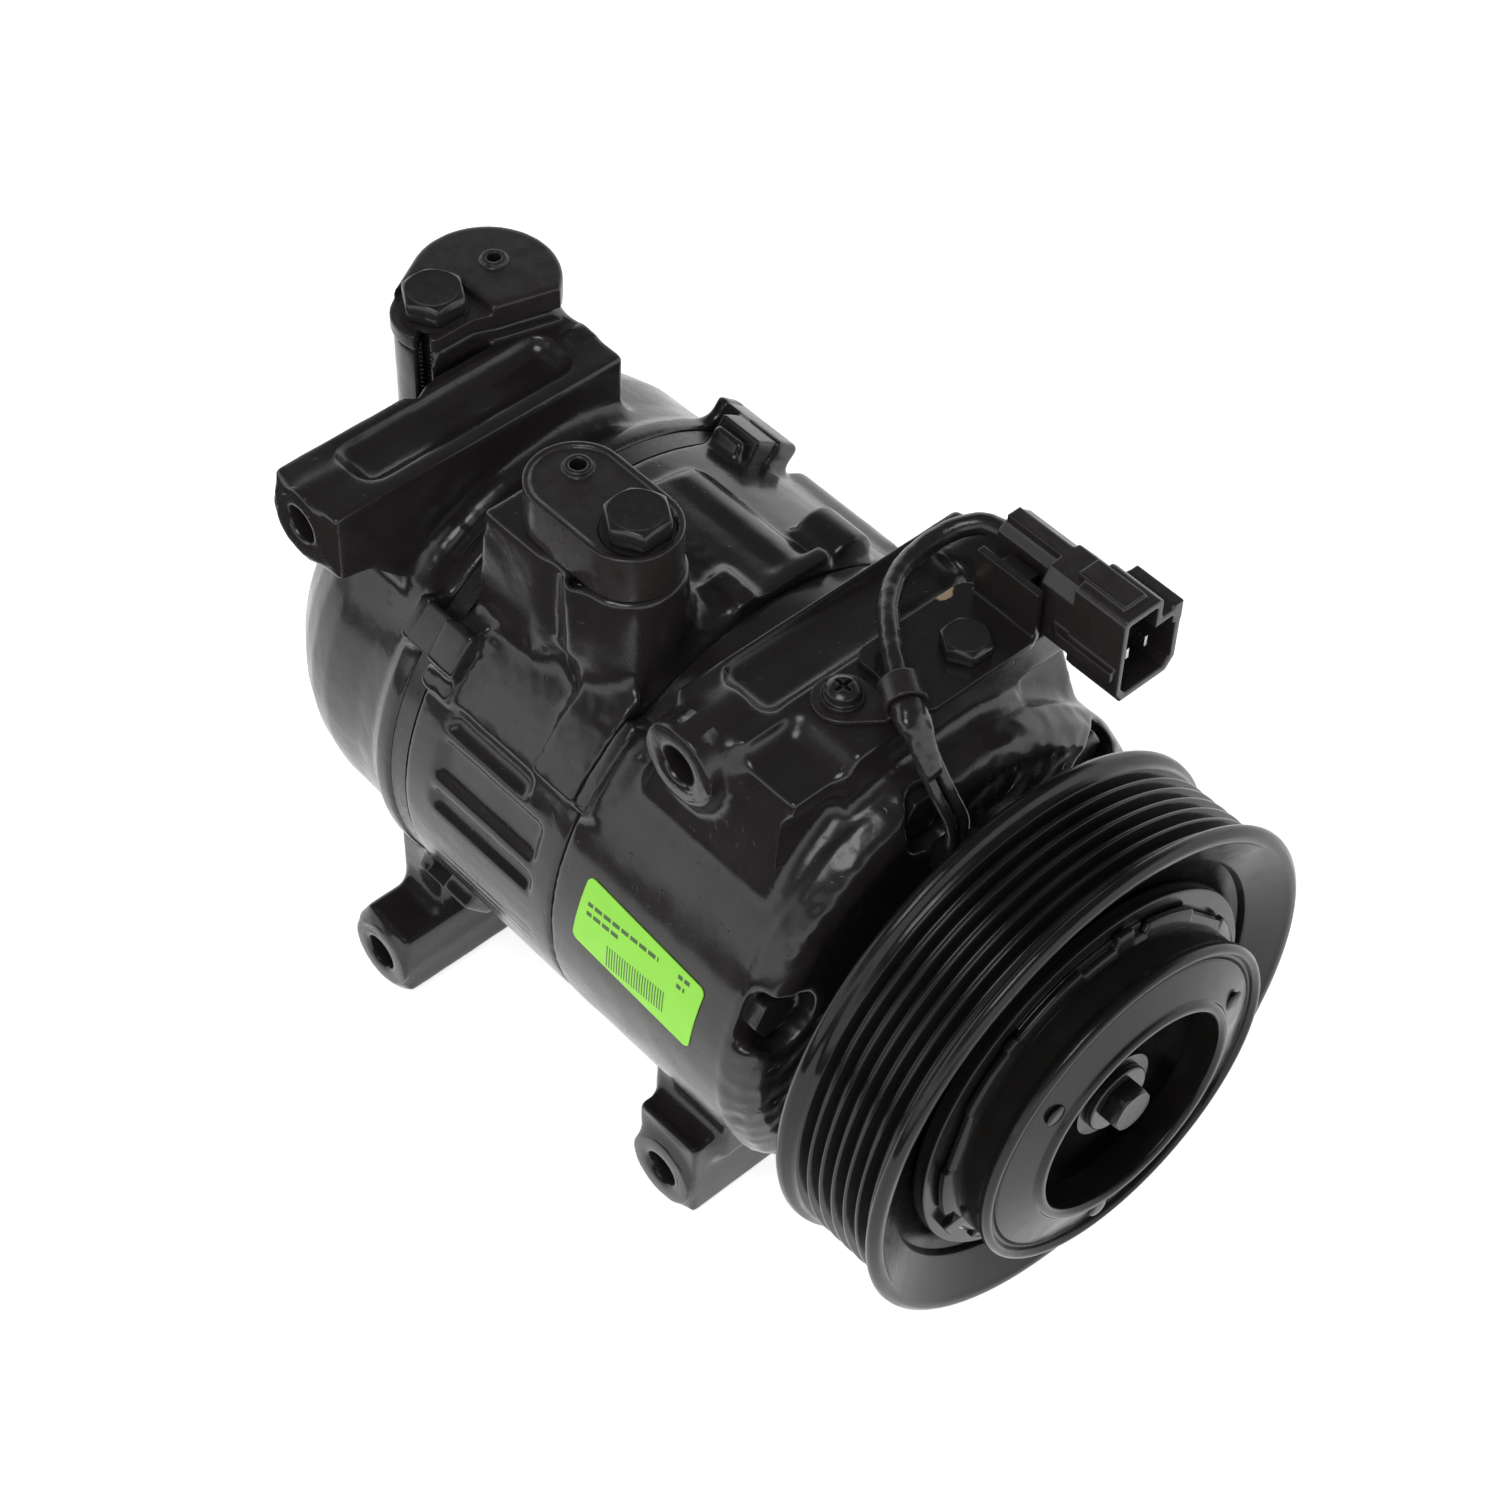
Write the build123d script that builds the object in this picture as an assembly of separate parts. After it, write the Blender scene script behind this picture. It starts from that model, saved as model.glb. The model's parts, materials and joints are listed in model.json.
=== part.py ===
from build123d import *
import math
import os

# Variable swash-plate air-conditioning compressor with an electromagnetic clutch.
# Millimetres.  The shaft lies along Y, the belt pulley faces -Y, +Z is up and the
# origin is on the shaft axis, midway across the six belt grooves.

# --- Driving dimensions ---------------------------------------------------------

rib_pitch = 3.56          # belt rib pitch
rib_count = 6             # grooves
tip_r = 60.7              # pulley ridge tips
rib_depth = 2.9
flange_r = 63.2           # pulley rims
pulley_rear_y = 16.2
friction_y = -8.0         # pulley friction face

body_r = 59.8             # casing outside radius
front_y = 27.5            # front face of the casing
shoulder_y = 42.0
seam_a_y = 90.0           # front housing to cylinder block
seam_b_y = 140.0          # cylinder block to valve plate
seam_c_y = 145.0          # valve plate stack to rear head
rear_y = 208.0

chamber_r = 46.5          # crank chamber
chamber_y = 44.0
block_face_y = 84.0

bore_count = 6
bore_r = 13.0
bore_pitch_r = 30.5
piston_gap = 0.07
plate_mid_y = 70.0        # swash plate at its smallest tilt
plate_r = 39.0
plate_half = 4.0

bolt_count = 6
bolt_ring_r = 51.5
bolt_first_deg = 160.0
bolt_shank_r = 3.0

nose_r = 17.5             # tube that carries the pulley bearing
bearing_r = 25.0
bearing_y0 = -6.5
bearing_y1 = 13.5

shaft_r = 10.0
shaft_nose_r = 8.0
journal_r = 9.0
running_gap = 0.03

bar_top_z = 70.0          # both upper mounting bars
hole_r = 4.5              # M8 clearance in all four mounting bars
front_hole = (66.7, 61.2)     # Y, Z
rear_hole = (170.5, 61.0)
front_ear_hole = (60.4, -65.0)
rear_ear_hole = (150.6, -65.0)

front_port = (-24.3, 121.0)   # X, Y
front_lobe = (-24.3, 104.0)    # front end of the cap and its tower
front_cap_bolt = (-24.0, 102.2)
rear_port = (8.2, 190.0)
rear_cap_bolt = (-6.6, 190.3)
pin_boss = (-35.2, 107.8)
window_deg = -144.8           # way the slot beside the rear cap bolt opens
slab_r = 64.0
tower_top_z = 77.0
cap_top_z = 89.0
rear_tower_z = 74.0
rear_cap_z = 80.0

valve_at = (0.0, 187.0)       # control valve bore, X, Y
valve_seal_zs = ((-40.0, -38.0), (-33.0, -31.0))
relief_y = 160.0
passage_z = 48.5              # gallery from the front port to the head

ball_r = 2.9
ball_pitch_r = 21.25
ball_count = 14
ball_row_ys = (-1.3, 8.3)
groove_gap = 0.06
rivet_ring_r = 31.5
rivet_angles = (140.5, 20.5, -99.5)

clip_screw_at = (-12.9, 52.3)
bracket_bolt_at = (14.5, 45.2)
lead_r = 2.4
wire_r = 1.35
clip_at = (-5.7, 42.8, 75.2)
clip_along = (-5.2, -9.6, -1.4)
lead_route = [
    (38.9, 57.0, 79.0), (38.9, 62.8, 79.0), (34.6, 67.4, 77.4), (28.0, 69.6, 75.4), (21.0, 69.0, 74.8),
    (14.2, 66.4, 75.0), (8.2, 61.8, 75.6), (3.2, 56.0, 76.0), (-1.0, 50.4, 76.0), (-4.62, 44.8, 75.49)]
wire_routes = [
    [(x - 9.0, 37.2, 74.2), (x - 10.2, 34.6, 71.6), (x - 10.8, 31.4, 67.4), (x - 10.6, 28.0, 62.8),
     (x - 9.8, 25.2, 58.0), (x - 8.6, 23.4, 53.0), (x - 8.6, 23.4, 47.5)] for x in (0.0, 3.3)]

os.makedirs("parts", exist_ok=True)


# --- Shape helpers --------------------------------------------------------------

def box(x0, x1, y0, y1, z0, z1):
    """Box between two corners."""
    middle = ((x0 + x1) / 2, (y0 + y1) / 2, (z0 + z1) / 2)
    return Pos(*middle) * Box(x1 - x0, y1 - y0, z1 - z0)


def rod_y(r, y0, y1, x=0.0, z=0.0):
    """Cylinder along Y."""
    return Pos(x, (y0 + y1) / 2, z) * Rot(90, 0, 0) * Cylinder(r, abs(y1 - y0))


def rod_x(r, x0, x1, y, z):
    """Cylinder along X."""
    return Pos((x0 + x1) / 2, y, z) * Rot(0, 90, 0) * Cylinder(r, abs(x1 - x0))


def rod_z(r, z0, z1, x, y):
    """Cylinder along Z."""
    return Pos(x, y, (z0 + z1) / 2) * Cylinder(r, abs(z1 - z0))


def ring_y(r0, r1, y0, y1, x=0.0, z=0.0):
    """Tube along Y."""
    return rod_y(r1, y0, y1, x, z) - rod_y(r0, y0 - 1, y1 + 1, x, z)


def ring_z(r0, r1, z0, z1, x, y):
    """Tube along Z."""
    return rod_z(r1, z0, z1, x, y) - rod_z(r0, z0 - 1, z1 + 1, x, y)


def turned(points):
    """Solid of revolution about Y from (radius, y) points."""
    return revolve(make_face(Polyline(*points, close=True)), Axis.Y)


def hex_y(across, y0, y1, x=0.0, z=0.0):
    """Hexagonal prism along Y."""
    face = RegularPolygon(across / 2, 6, major_radius=False)
    return Pos(x, y1, z) * Rot(90, 0, 0) * extrude(face, abs(y1 - y0))


def hex_z(across, z0, z1, x, y):
    """Hexagonal prism along Z with the top edge turned off."""
    face = RegularPolygon(across / 2, 6, major_radius=False)
    prism = Pos(x, y, z0) * extrude(face, z1 - z0)
    cap = Pos(x, y, (z0 + z1) / 2) * Cone(across / 2 + (z1 - z0) * 1.7, across / 2 * 0.97, z1 - z0)
    return prism & cap


def polar(radius, degrees):
    """X, Z of a point around the shaft."""
    return radius * math.cos(math.radians(degrees)), radius * math.sin(math.radians(degrees))


def around(count, first):
    """Evenly spaced angles."""
    return [first - 360.0 * k / count for k in range(count)]


def sector(r0, r1, y0, y1, first, last):
    """Ring segment about Y between two angles."""
    steps = 8
    outer = [polar(r1, first + (last - first) * k / steps) for k in range(steps + 1)]
    inner = [polar(r0, last - (last - first) * k / steps) for k in range(steps + 1)]
    face = make_face(Polyline(*[(x, z) for x, z in outer + inner], close=True))
    return Pos(0, y1, 0) * Rot(90, 0, 0) * extrude(face, y1 - y0)


def slab_xz(points, y0, y1):
    """Prism along Y from (x, z) points."""
    face = make_face(Polyline(*points, close=True))
    return Pos(0, y1, 0) * Rot(90, 0, 0) * extrude(face, y1 - y0)


def slab_yz(points, x0, x1):
    """Prism along X from (y, z) points."""
    plane = Plane(origin=(x0, 0, 0), x_dir=(0, 1, 0), z_dir=(1, 0, 0))
    return extrude(plane * make_face(Polyline(*points, close=True)), x1 - x0)


def stadium(x0, y0, x1, y1, r):
    """Flat racetrack or teardrop face from two centres."""
    r0, r1 = r if isinstance(r, tuple) else (r, r)
    circles = (Pos(x0, y0) * Circle(r0)).edges() + (Pos(x1, y1) * Circle(r1)).edges()
    return make_hull(circles)


def prism_z(face, z0, z1):
    """Prism along Z from a flat face."""
    return Pos(0, 0, z0) * extrude(face, z1 - z0)


def tube(points, r):
    """Round tube along straight runs joined by arcs."""
    corners = [Vector(*p) for p in points]
    radii = []
    for before, at, after in zip(corners, corners[1:], corners[2:]):
        run_in = at - before
        run_out = after - at
        turn = math.radians(run_in.get_angle(run_out))
        radii.append(0.45 * min(run_in.length, run_out.length) / math.tan(turn / 2))
    print("tube radii", [round(value, 1) for value in radii])
    path = FilletPolyline(*points, radius=radii)
    start = Plane(origin=path @ 0, z_dir=path % 0)
    return sweep(start * Circle(r), path)


def write(name, *solids):
    """Write one node."""
    shape = solids[0] if len(solids) == 1 else Compound(children=[Part() + s for s in solids])
    shape.label = name
    export_step(shape, "parts/" + name + ".step")


bolt_angles = around(bolt_count, bolt_first_deg)
bore_angles = around(bore_count, bolt_first_deg - 180.0 / bore_count)
bolt_at = [polar(bolt_ring_r, a) for a in bolt_angles]
bore_at = [polar(bore_pitch_r, a) for a in bore_angles]


# --- Front housing --------------------------------------------------------------

def front_housing():
    """Bell with the bearing nose, clutch seat, front mounting bar and lower ear."""
    shell = turned([
        (14, -9.5), (nose_r, -9.5), (nose_r, bearing_y1), (20.3, bearing_y1), (20.3, 15.8),
        (19.2, 15.8), (19.2, 17.0), (20.3, 17.0), (20.3, 19.5), (27, 19.5), (31, front_y),
        (54, front_y), (57.6, 29.8), (59.6, 35), (body_r, shoulder_y), (body_r, seam_a_y),
        (chamber_r, seam_a_y), (chamber_r, chamber_y), (12.5, chamber_y), (12.5, 20),
        (11, 20), (11, 9), (14, 9), (14, 1.2), (15, 1.2), (15, 0), (14, 0)])
    top = Plane.XY.offset(65) * Pos(2, 60.5) * Rectangle(78, 33)
    foot = Plane.XY.offset(38) * Pos(1, 59.5) * Rectangle(90, 40)
    saddle = loft([foot, top])
    pad = box(-37, -16, 40.5, 60, 61.5, 66)
    step = slab_xz([(-24.4, 60), (-24.4, 66), (-20.4, bar_top_z), (43, bar_top_z), (43, 60)], 39, 62)
    bar = box(-36, 43, 56.7, 77, 52, bar_top_z)
    bar = bar + rod_x(10, -44.5, 46, *front_hole)
    y, z = front_ear_hole
    ear = box(-52, 26, 50.8, 69.2, -74, -50)
    ear = ear + rod_x(9.6, -53.7, 27.5, y, z)
    ear = ear + box(-45, 24, 48, 72, -56, -40)
    extras = saddle + pad + step + bar + ear
    bore = rod_y(chamber_r, chamber_y, seam_a_y)
    lug = sector(body_r - 3, slab_r, 86.2, seam_a_y, 126, 146.5)
    shell = shell + ((extras + lug) - rod_y(body_r - 1.5, 20, seam_a_y + 5))
    shell = shell - bore
    for x, z in bolt_at:
        if z < 30:
            shell = shell - rod_y(8.2, 20, 35, x, z)
            shell = shell - rod_y(8.2, 20, 35, x * 1.16, z * 1.16)
        shell = shell - rod_y(bolt_shank_r + 0.3, 20, seam_a_y + 1, x, z)
    for x, z in bolt_at:
        if z >= 30:
            shell = shell - rod_y(7.5, 20, 35, x, z)
    for degrees in (130.0, 190.0, 250.0, 310.0, 10.0):
        x, z = polar(62.5, degrees)
        shell = shell - rod_y(5.0, 20, 33, x, z)
    pocket = fillet((Pos(2, 67.4) * Rectangle(58, 15.8)).vertices(), 4.0)
    shell = shell - prism_z(pocket, 66.8, bar_top_z + 1)
    shell = shell - rod_x(hole_r, -60, 60, *front_hole)
    shell = shell - rod_x(hole_r, -70, 40, *front_ear_hole)
    shell = shell - rod_z(2.0, 56, 80, *clip_screw_at)
    shell = shell - rod_z(3.0, 52, 80, *bracket_bolt_at)
    return shell


# --- Cylinder block -------------------------------------------------------------

def front_tower():
    """Two merged lobes under the front port, slightly wider at the foot, with a pin boss between them."""
    draft_r = 1.6
    height = tower_top_z - 40
    x0, y0 = front_lobe
    x1, y1 = front_port
    lobe_a = Pos(x0, y0, 40 + height / 2) * Cone(12.0 + draft_r, 12.0, height)
    lobe_b = Pos(x1, y1, 40 + height / 2) * Cone(12.9 + draft_r, 12.9, height)
    lower = Plane.XY.offset(40) * Pos(x1, 130) * Rectangle(25.8 + 2 * draft_r, 18)
    upper = Plane.XY.offset(tower_top_z) * Pos(x1, 128.5) * Rectangle(25.8, 15)
    return lobe_a + lobe_b + loft([lower, upper]) + rod_z(3.3, 56, tower_top_z, *pin_boss)


def cylinder_block():
    """Block with six bores, ribs on its left side and the front port tower."""
    block = rod_y(body_r, seam_a_y, seam_b_y) + rod_y(chamber_r - 0.05, block_face_y, seam_a_y)
    for first, last in ((149.5, 154.5), (157, 166.8), (170.2, 175.6)):
        block = block - sector(body_r - 2.2, body_r + 3, 104 - 7 * (first > 150), 130.5, first, last)
    for degrees in range(178, 208, 3):
        block = block - sector(body_r - 0.9, body_r + 3, 97, 130.5, degrees, degrees + 1.3)
    for first, last in ((-66, -40), (-34, -8), (-2, 22), (26, 44)):
        block = block - sector(body_r - 3.0, body_r + 3, 98, 132, first, last)
    slab = sector(body_r - 4, slab_r, seam_a_y, 103.4, 122, 146.5)
    bulges = rod_y(8.0, 93, 129, 11.3, 53.3) + rod_y(9.0, 97, 129, 41.5, 33.0)
    saddle = sector(body_r - 4, 61.6, seam_a_y + 2, 131, 74, 124)
    lugs = sector(55, 65.5, 131, seam_b_y, 133, 143)
    lugs = lugs + sector(55, 63.2, 131, seam_b_y, 143, 149)
    lugs = lugs + sector(55, 67, 128, seam_b_y, 46, 53)
    lugs = lugs + sector(55, 64.5, 131, seam_b_y, 53, 61)
    lugs = lugs + sector(55, 65, 131, seam_b_y, -47, -37)
    lugs = lugs + sector(55, 65, 131, seam_b_y, -143, -133)
    boss = rod_y(6.6, 91, 104, 27.0, 53.2) + rod_y(5.4, 86 + 5, 91.5, 27.0, 53.2)
    boss = boss + box(-4, 20, seam_a_y, 94, 50, 61.6) + rod_y(4.2, seam_a_y, 101, -3.6, 59.0)
    tower = front_tower()
    outside = (slab + bulges + saddle + lugs + boss + tower) - rod_y(body_r - 4.5, 80, 145)
    block = block + (outside & rod_y(120, seam_a_y, seam_b_y))
    for x, z in bore_at:
        block = block - rod_y(bore_r, block_face_y - 1, seam_b_y + 1, x, z)
    for x, z in bolt_at:
        block = block - rod_y(bolt_shank_r + 0.3, block_face_y - 1, seam_b_y + 1, x, z)
    block = block - rod_y(12.5, block_face_y - 1, 122)
    block = block - rod_y(4, 120, seam_b_y + 1)
    block = block - ring_y(44.8, chamber_r + 1, 86, 88.2)
    px, py = front_port
    bx, by = front_cap_bolt
    block = block - rod_z(8.2, 63, tower_top_z + 1, px, py)
    block = block - rod_z(5.0, 47, 64, px, py)
    block = block - rod_y(4.0, 118, seam_b_y + 1, px, passage_z)
    block = block - rod_z(4.0, 58, tower_top_z + 1, bx, by)
    return block - rod_z(1.9, 73.5, tower_top_z + 1, *pin_boss)


# --- Rear head ------------------------------------------------------------------

def front_side_cut(z0, z1):
    """Block in front of the straight front side of the rear tower and its cap."""
    outline = [(-30, 182.4), (-2, 182.4), (3.3, 180.2), (17, 176.2), (30, 172), (30, 160), (-30, 160)]
    return prism_z(make_face(Polyline(*outline, close=True)), z0, z1)


def thread_window(z0, z1):
    """Narrow slot from the rear cap's bolt out through the wall."""
    return Pos(*rear_cap_bolt, 0) * Rot(0, 0, window_deg) * box(0, 20, -1.7, 1.7, z0, z1)


def rear_head():
    """Domed head with the rear mounting bar, lower ear and rear port tower."""
    head = turned([
        (0, seam_c_y), (body_r + 0.4, seam_c_y), (body_r + 0.4, 149.5), (58.4, 152), (57.2, 160),
        (57.0, 172), (55.4, 179), (52.2, 185.5), (47.5, 192), (39.7, 199), (32, 203.8),
        (22, 207.2), (0, rear_y)])
    bar_side = [(-59, 52), (-59, bar_top_z), (20.8, bar_top_z), (20.8, 40), (-37, 36), (-50, 50)]
    bar = slab_xz(bar_side, 158.5, 180)
    bar = bar + rod_x(9.5, -60, 21, *rear_hole)
    tower = prism_z(stadium(*rear_port, *rear_cap_bolt, (15.6, 9.2)), 20, rear_tower_z)
    tower = tower - front_side_cut(58, rear_tower_z + 1)
    y, z = rear_ear_hole
    ear_side = [(141, -72), (142, -55), (156, -53), (160.2, -60), (160, -70), (156, -74.5), (144, -74.5)]
    ear = slab_yz(ear_side, -61.5, 24)
    ear = ear + rod_x(9.4, -63, 25, y, z) + box(-48, 23, seam_c_y, 159, -56, -38)
    ear = ear - rod_y(body_r + 1.2, 130, seam_c_y)
    lugs = sector(55, 65.5, seam_c_y, 149, 133, 143) + sector(55, 67, seam_c_y, 149, 46, 53)
    lugs = lugs + sector(55, 65, seam_c_y, 149, -47, -37) + sector(55, 65, seam_c_y, 149, -143, -133)
    valve_boss = rod_z(14.0, -54, -30, *valve_at)
    relief_boss = rod_x(9.5, 48, 58.5, relief_y, 0)
    extras = (bar + tower + ear + lugs + valve_boss + relief_boss) - rod_y(47.5, 130, 176)
    head = head + extras
    head = head - rod_y(18, seam_c_y - 1, 175) - ring_y(21.5, 46, seam_c_y - 1, 171)
    head = head - rod_y(4, seam_c_y - 1, 156, front_port[0], passage_z)
    for bolt_x, bolt_z in bolt_at:
        head = head - rod_y(bolt_shank_r, seam_c_y - 1, 163, bolt_x, bolt_z)
    pocket = fillet((Pos(-17.5, 170.1) * Rectangle(58, 13.4)).vertices(), 4.0)
    head = head - prism_z(pocket, 66.8, bar_top_z + 1)
    head = head - rod_x(hole_r, -70, 30, *rear_hole)
    head = head - rod_x(hole_r, -80, 40, y, z)
    bx, by = rear_cap_bolt
    head = head - thread_window(57, rear_tower_z + 1)
    head = head - rod_z(4.4, 57, rear_tower_z + 1, bx, by) - rod_z(3.95, 52, 58, bx, by)
    px, py = rear_port
    head = head - rod_z(8.2, 60, rear_tower_z + 1, px, py) - rod_z(5.0, 38, 61, px, py)
    head = head - rod_y(4.5, 165, py, px, 40)
    head = head - rod_z(8.0, -46, -26, *valve_at) - rod_z(10.0, -60, -44, *valve_at)
    head = head - rod_z(11.2, -53, -51.8, *valve_at)
    return head - rod_x(6.0, 45, 60, relief_y, 0)


# --- Valve plate stack ----------------------------------------------------------

def plain_disc(y0, y1):
    """Disc with its centre hole, bolt holes and the gallery hole."""
    disc = rod_y(body_r - 0.4, y0, y1) - rod_y(4, y0 - 1, y1 + 1)
    for x, z in bolt_at:
        disc = disc - rod_y(bolt_shank_r + 0.3, y0 - 1, y1 + 1, x, z)
    return disc - rod_y(4, y0 - 1, y1 + 1, front_port[0], passage_z)


def stack_disc(y0, y1, hole_radius):
    """One disc of the stack with a round hole at each bore."""
    disc = plain_disc(y0, y1)
    for x, z in bore_at:
        disc = disc - rod_y(hole_radius, y0 - 1, y1 + 1, x, z)
    return disc


def reed_disc(y0, y1, slot_radius):
    """Reed disc: each bore has a tongue inside a horseshoe slot."""
    disc = plain_disc(y0, y1)
    for (x, z), degrees in zip(bore_at, bore_angles):
        slot = ring_y(slot_radius - 1.2, slot_radius, y0 - 1, y1 + 1, x, z)
        root = Rot(0, -degrees, 0) * box(bore_pitch_r, bore_pitch_r + 12, y0 - 2, y1 + 2, -4, 4)
        disc = disc - (slot - root)
    return disc


# --- Compression parts ----------------------------------------------------------

def piston(x, z):
    """Hollow-backed piston whose bridge reaches round the swash plate."""
    r = bore_r - piston_gap
    body = rod_y(r, 59.5, 136, x, z)
    body = body - rod_y(plate_r + 1.3, plate_mid_y - 5.5, plate_mid_y + 5.5)
    body = body - Pos(x, plate_mid_y, z) * Sphere(8.05)
    body = body - ring_y(r - 1.3, r + 1, 126, 128, x, z)
    body = body - ring_y(r - 1.3, r + 1, 131, 133, x, z)
    body = body - rod_y(8.5, 92, 120, x, z)
    return body


def shoe_pair(x, z):
    """Two half-ball shoes, one on each side of the plate."""
    ball = Pos(x, plate_mid_y, z) * Sphere(8.0)
    gap = plate_half + 0.06
    rear = ball & box(x - 9, x + 9, plate_mid_y + gap, plate_mid_y + 9, z - 9, z + 9)
    front = ball & box(x - 9, x + 9, plate_mid_y - 9, plate_mid_y - gap, z - 9, z + 9)
    return rear, front


def drive_shaft():
    """Stepped shaft with a threaded nose."""
    shaft = turned([
        (0, -20.5), (7.4, -20.5), (shaft_nose_r, -19.9), (shaft_nose_r, 12), (shaft_r, 14),
        (shaft_r, 88), (journal_r, 88.6), (journal_r, 119), (8.4, 119.8), (0, 119.8)])
    return shaft - rod_y(3.0, -21, -6)


def lug_plate():
    """Drive disc pressed on the shaft with two hinge ears and their pin."""
    disc = ring_y(shaft_r, 38, 46.1, 53)
    disc = disc + box(-9.5, -4.2, 52, 58, 16.6, 33) + box(4.2, 9.5, 52, 58, 16.6, 33)
    disc = disc + rod_x(1.8, -9, 9, 56, 27)
    for degrees in (210, 270, 330):
        x, z = polar(27, degrees)
        disc = disc - rod_y(6, 48.5, 54, x, z)
    return disc


def swash_plate():
    """Wobble disc with its hub and hinge arm."""
    plate = ring_y(10.35, plate_r, plate_mid_y - plate_half, plate_mid_y + plate_half)
    plate = plate + ring_y(10.35, 16.2, 57.6, 80)
    plate = plate + (box(-3.9, 3.9, 54, 59, 14.6, 31) + box(-3.9, 3.9, 57.6, 60, 12.5, 17))
    slot = Pos(0, 56, 0) * box(-5, 5, -2.1, 2.1, 24, 30)
    return plate - slot


def return_spring():
    """Two-turn coil between the lug plate and the swash plate hub."""
    path = Helix(pitch=1.9, height=2.6, radius=11.6)
    wire = sweep(Plane(origin=path @ 0, z_dir=path % 0) * Circle(0.7), path, is_frenet=True)
    return Pos(0, 56.6, 0) * Rot(90, 0, 0) * wire


# --- Clutch ---------------------------------------------------------------------

def rib_profile():
    """(radius, y) points across the ridges, rear to front."""
    tip_half = 0.34
    root_half = 0.42
    root_r = tip_r - rib_depth
    points = []
    for k in range(rib_count + 1):
        y = rib_pitch * (rib_count / 2 - k)
        points += [(tip_r, y + tip_half), (tip_r, y - tip_half)]
        if k < rib_count:
            middle = y - rib_pitch / 2
            points += [(root_r, middle + root_half), (root_r, middle - root_half)]
    return points


def pulley():
    """Grooved pulley with rolled rims, rotor cavity and slotted friction face."""
    rear = [(47.5, pulley_rear_y), (60.2, pulley_rear_y), (61.8, 15.6), (62.6, 14.4), (62.4, 13.0),
            (61.0, 12.0)]
    front = [(61.0, -11.4), (62.5, -11.9), (flange_r, -12.9), (62.9, -14.0), (61.6, -14.9), (60.2, -14.8),
             (59.2, -14.0), (51.8, -9.6), (51.3, friction_y)]
    inner = [(23.6, friction_y), (23.6, bearing_y0), (bearing_r, bearing_y0), (bearing_r, 13.5),
             (26.2, 13.5), (26.2, 14.7), (bearing_r, 14.7), (bearing_r, 16), (29.5, 16), (29.5, -4),
             (47.5, -4)]
    body = turned(rear + rib_profile() + front + inner)
    for degrees in around(6, 30):
        body = body - sector(34.5, 36.5, friction_y - 1, -3, degrees - 24, degrees + 24)
    return body


def hub_shell():
    """Dished cover with its cup, outer wall and notched foot."""
    shell = turned([
        (25.8, -26.6), (27.4, -27.2), (39.6, -23.7), (40.7, -22.6), (40.6, -21.4), (39.9, -20.9),
        (39.9, -15.2), (42.8, -14.4), (42.8, -12.6), (38.2, -12.6), (38.2, -20.6), (38.6, -22.0),
        (27.9, -25.2), (27.3, -24.8), (27.3, -19.0), (25.8, -19.0)])
    for degrees in (43, 163, 283):
        shell = shell - Rot(0, -degrees, 0) * box(41.4, 44, -16, -12, -15, 15)
    for degrees in (78, 100, 198, 222, 318, 340):
        x, z = polar(43.4, degrees)
        shell = shell - rod_y(1.9, -16, -12, x, z)
    for x, z in [polar(rivet_ring_r, a) for a in rivet_angles]:
        shell = shell - rod_y(2.7, -30, -20, x, z)
    return shell


def hub_core():
    """Splined inner hub: boss and flange inside the dish."""
    core = ring_y(shaft_nose_r, 10.5, -20.5, -10.0) + ring_y(shaft_nose_r, 31.0, -14.8, -12.6)
    return core + ring_y(29.0, 31.0, -20.0, -13)


def hub_rubber():
    """Damper ring between the inner hub and the dish."""
    return ring_y(31.0, 38.2, -20.0, -13.0)


def armature():
    """Flat friction plate that pulls against the pulley."""
    plate = ring_y(26.5, 46.3, -12.0, -8.5)
    for degrees in around(6, 0):
        plate = plate - sector(40, 41.5, -13, -8, degrees - 20, degrees + 20)
    return plate


# --- Port caps ------------------------------------------------------------------

def front_cap():
    """Racetrack blanking cap with a raised rim and a vent nipple."""
    outer = stadium(*front_port, *front_lobe, 11.1)
    inner = stadium(*front_port, *front_lobe, 9.7)
    body = prism_z(outer, tower_top_z, cap_top_z) - prism_z(inner, 88.3, cap_top_z + 1)
    body = body - rod_z(8.0, 87.1, cap_top_z, *front_cap_bolt)
    px, py = front_port
    body = body + rod_z(7.6, 65, tower_top_z + 1, px, py) - ring_z(6.4, 9, 68, 71, px, py)
    bore = rod_z(1.8, 84.5, 91, px + 2.6, py + 2.5)
    body = body + rod_z(3.1, 87.5, 89.6, px + 2.6, py + 2.5) - bore
    return body - rod_z(4.3, 70, 90, *front_cap_bolt)


def rear_cap():
    """Teardrop blanking cap with a lower ear for its bolt."""
    bx, by = rear_cap_bolt
    px, py = rear_port
    outer = stadium(px - 0.4, py, bx, by, (17.0, 9.8))
    body = prism_z(outer, rear_tower_z, rear_cap_z) - front_side_cut(rear_tower_z - 1, rear_cap_z + 1)
    seat_z = rear_cap_z - 2.4
    body = body - rod_z(8.8, seat_z, 90, bx, by)
    body = body - box(bx - 20, bx, by - 30, by + 8.8, seat_z, 90)
    body = body - box(bx - 20, bx + 8.8, by - 30, by, seat_z, 90)
    body = body - thread_window(70, 90)
    body = body + rod_z(7.6, 62, rear_tower_z + 1, px, py) - ring_z(6.4, 9, 66, 69, px, py)
    vent = rod_z(1.6, 76, 84, px + 4.0, py + 2.5)
    body = body + rod_z(2.9, rear_cap_z - 1, rear_cap_z + 1.0, px + 4.0, py + 2.5) - vent
    return body - rod_z(4.3, 70, 90, bx, by)


def cap_bolt(x, y, seat_z, shank):
    """M8 hexagon bolt standing on its washer."""
    head = hex_z(13.0, seat_z, seat_z + 5.3, x, y)
    return head + rod_z(3.95, seat_z - shank, seat_z + 1, x, y)


# --- Lead, clip and connector ---------------------------------------------------

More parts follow.
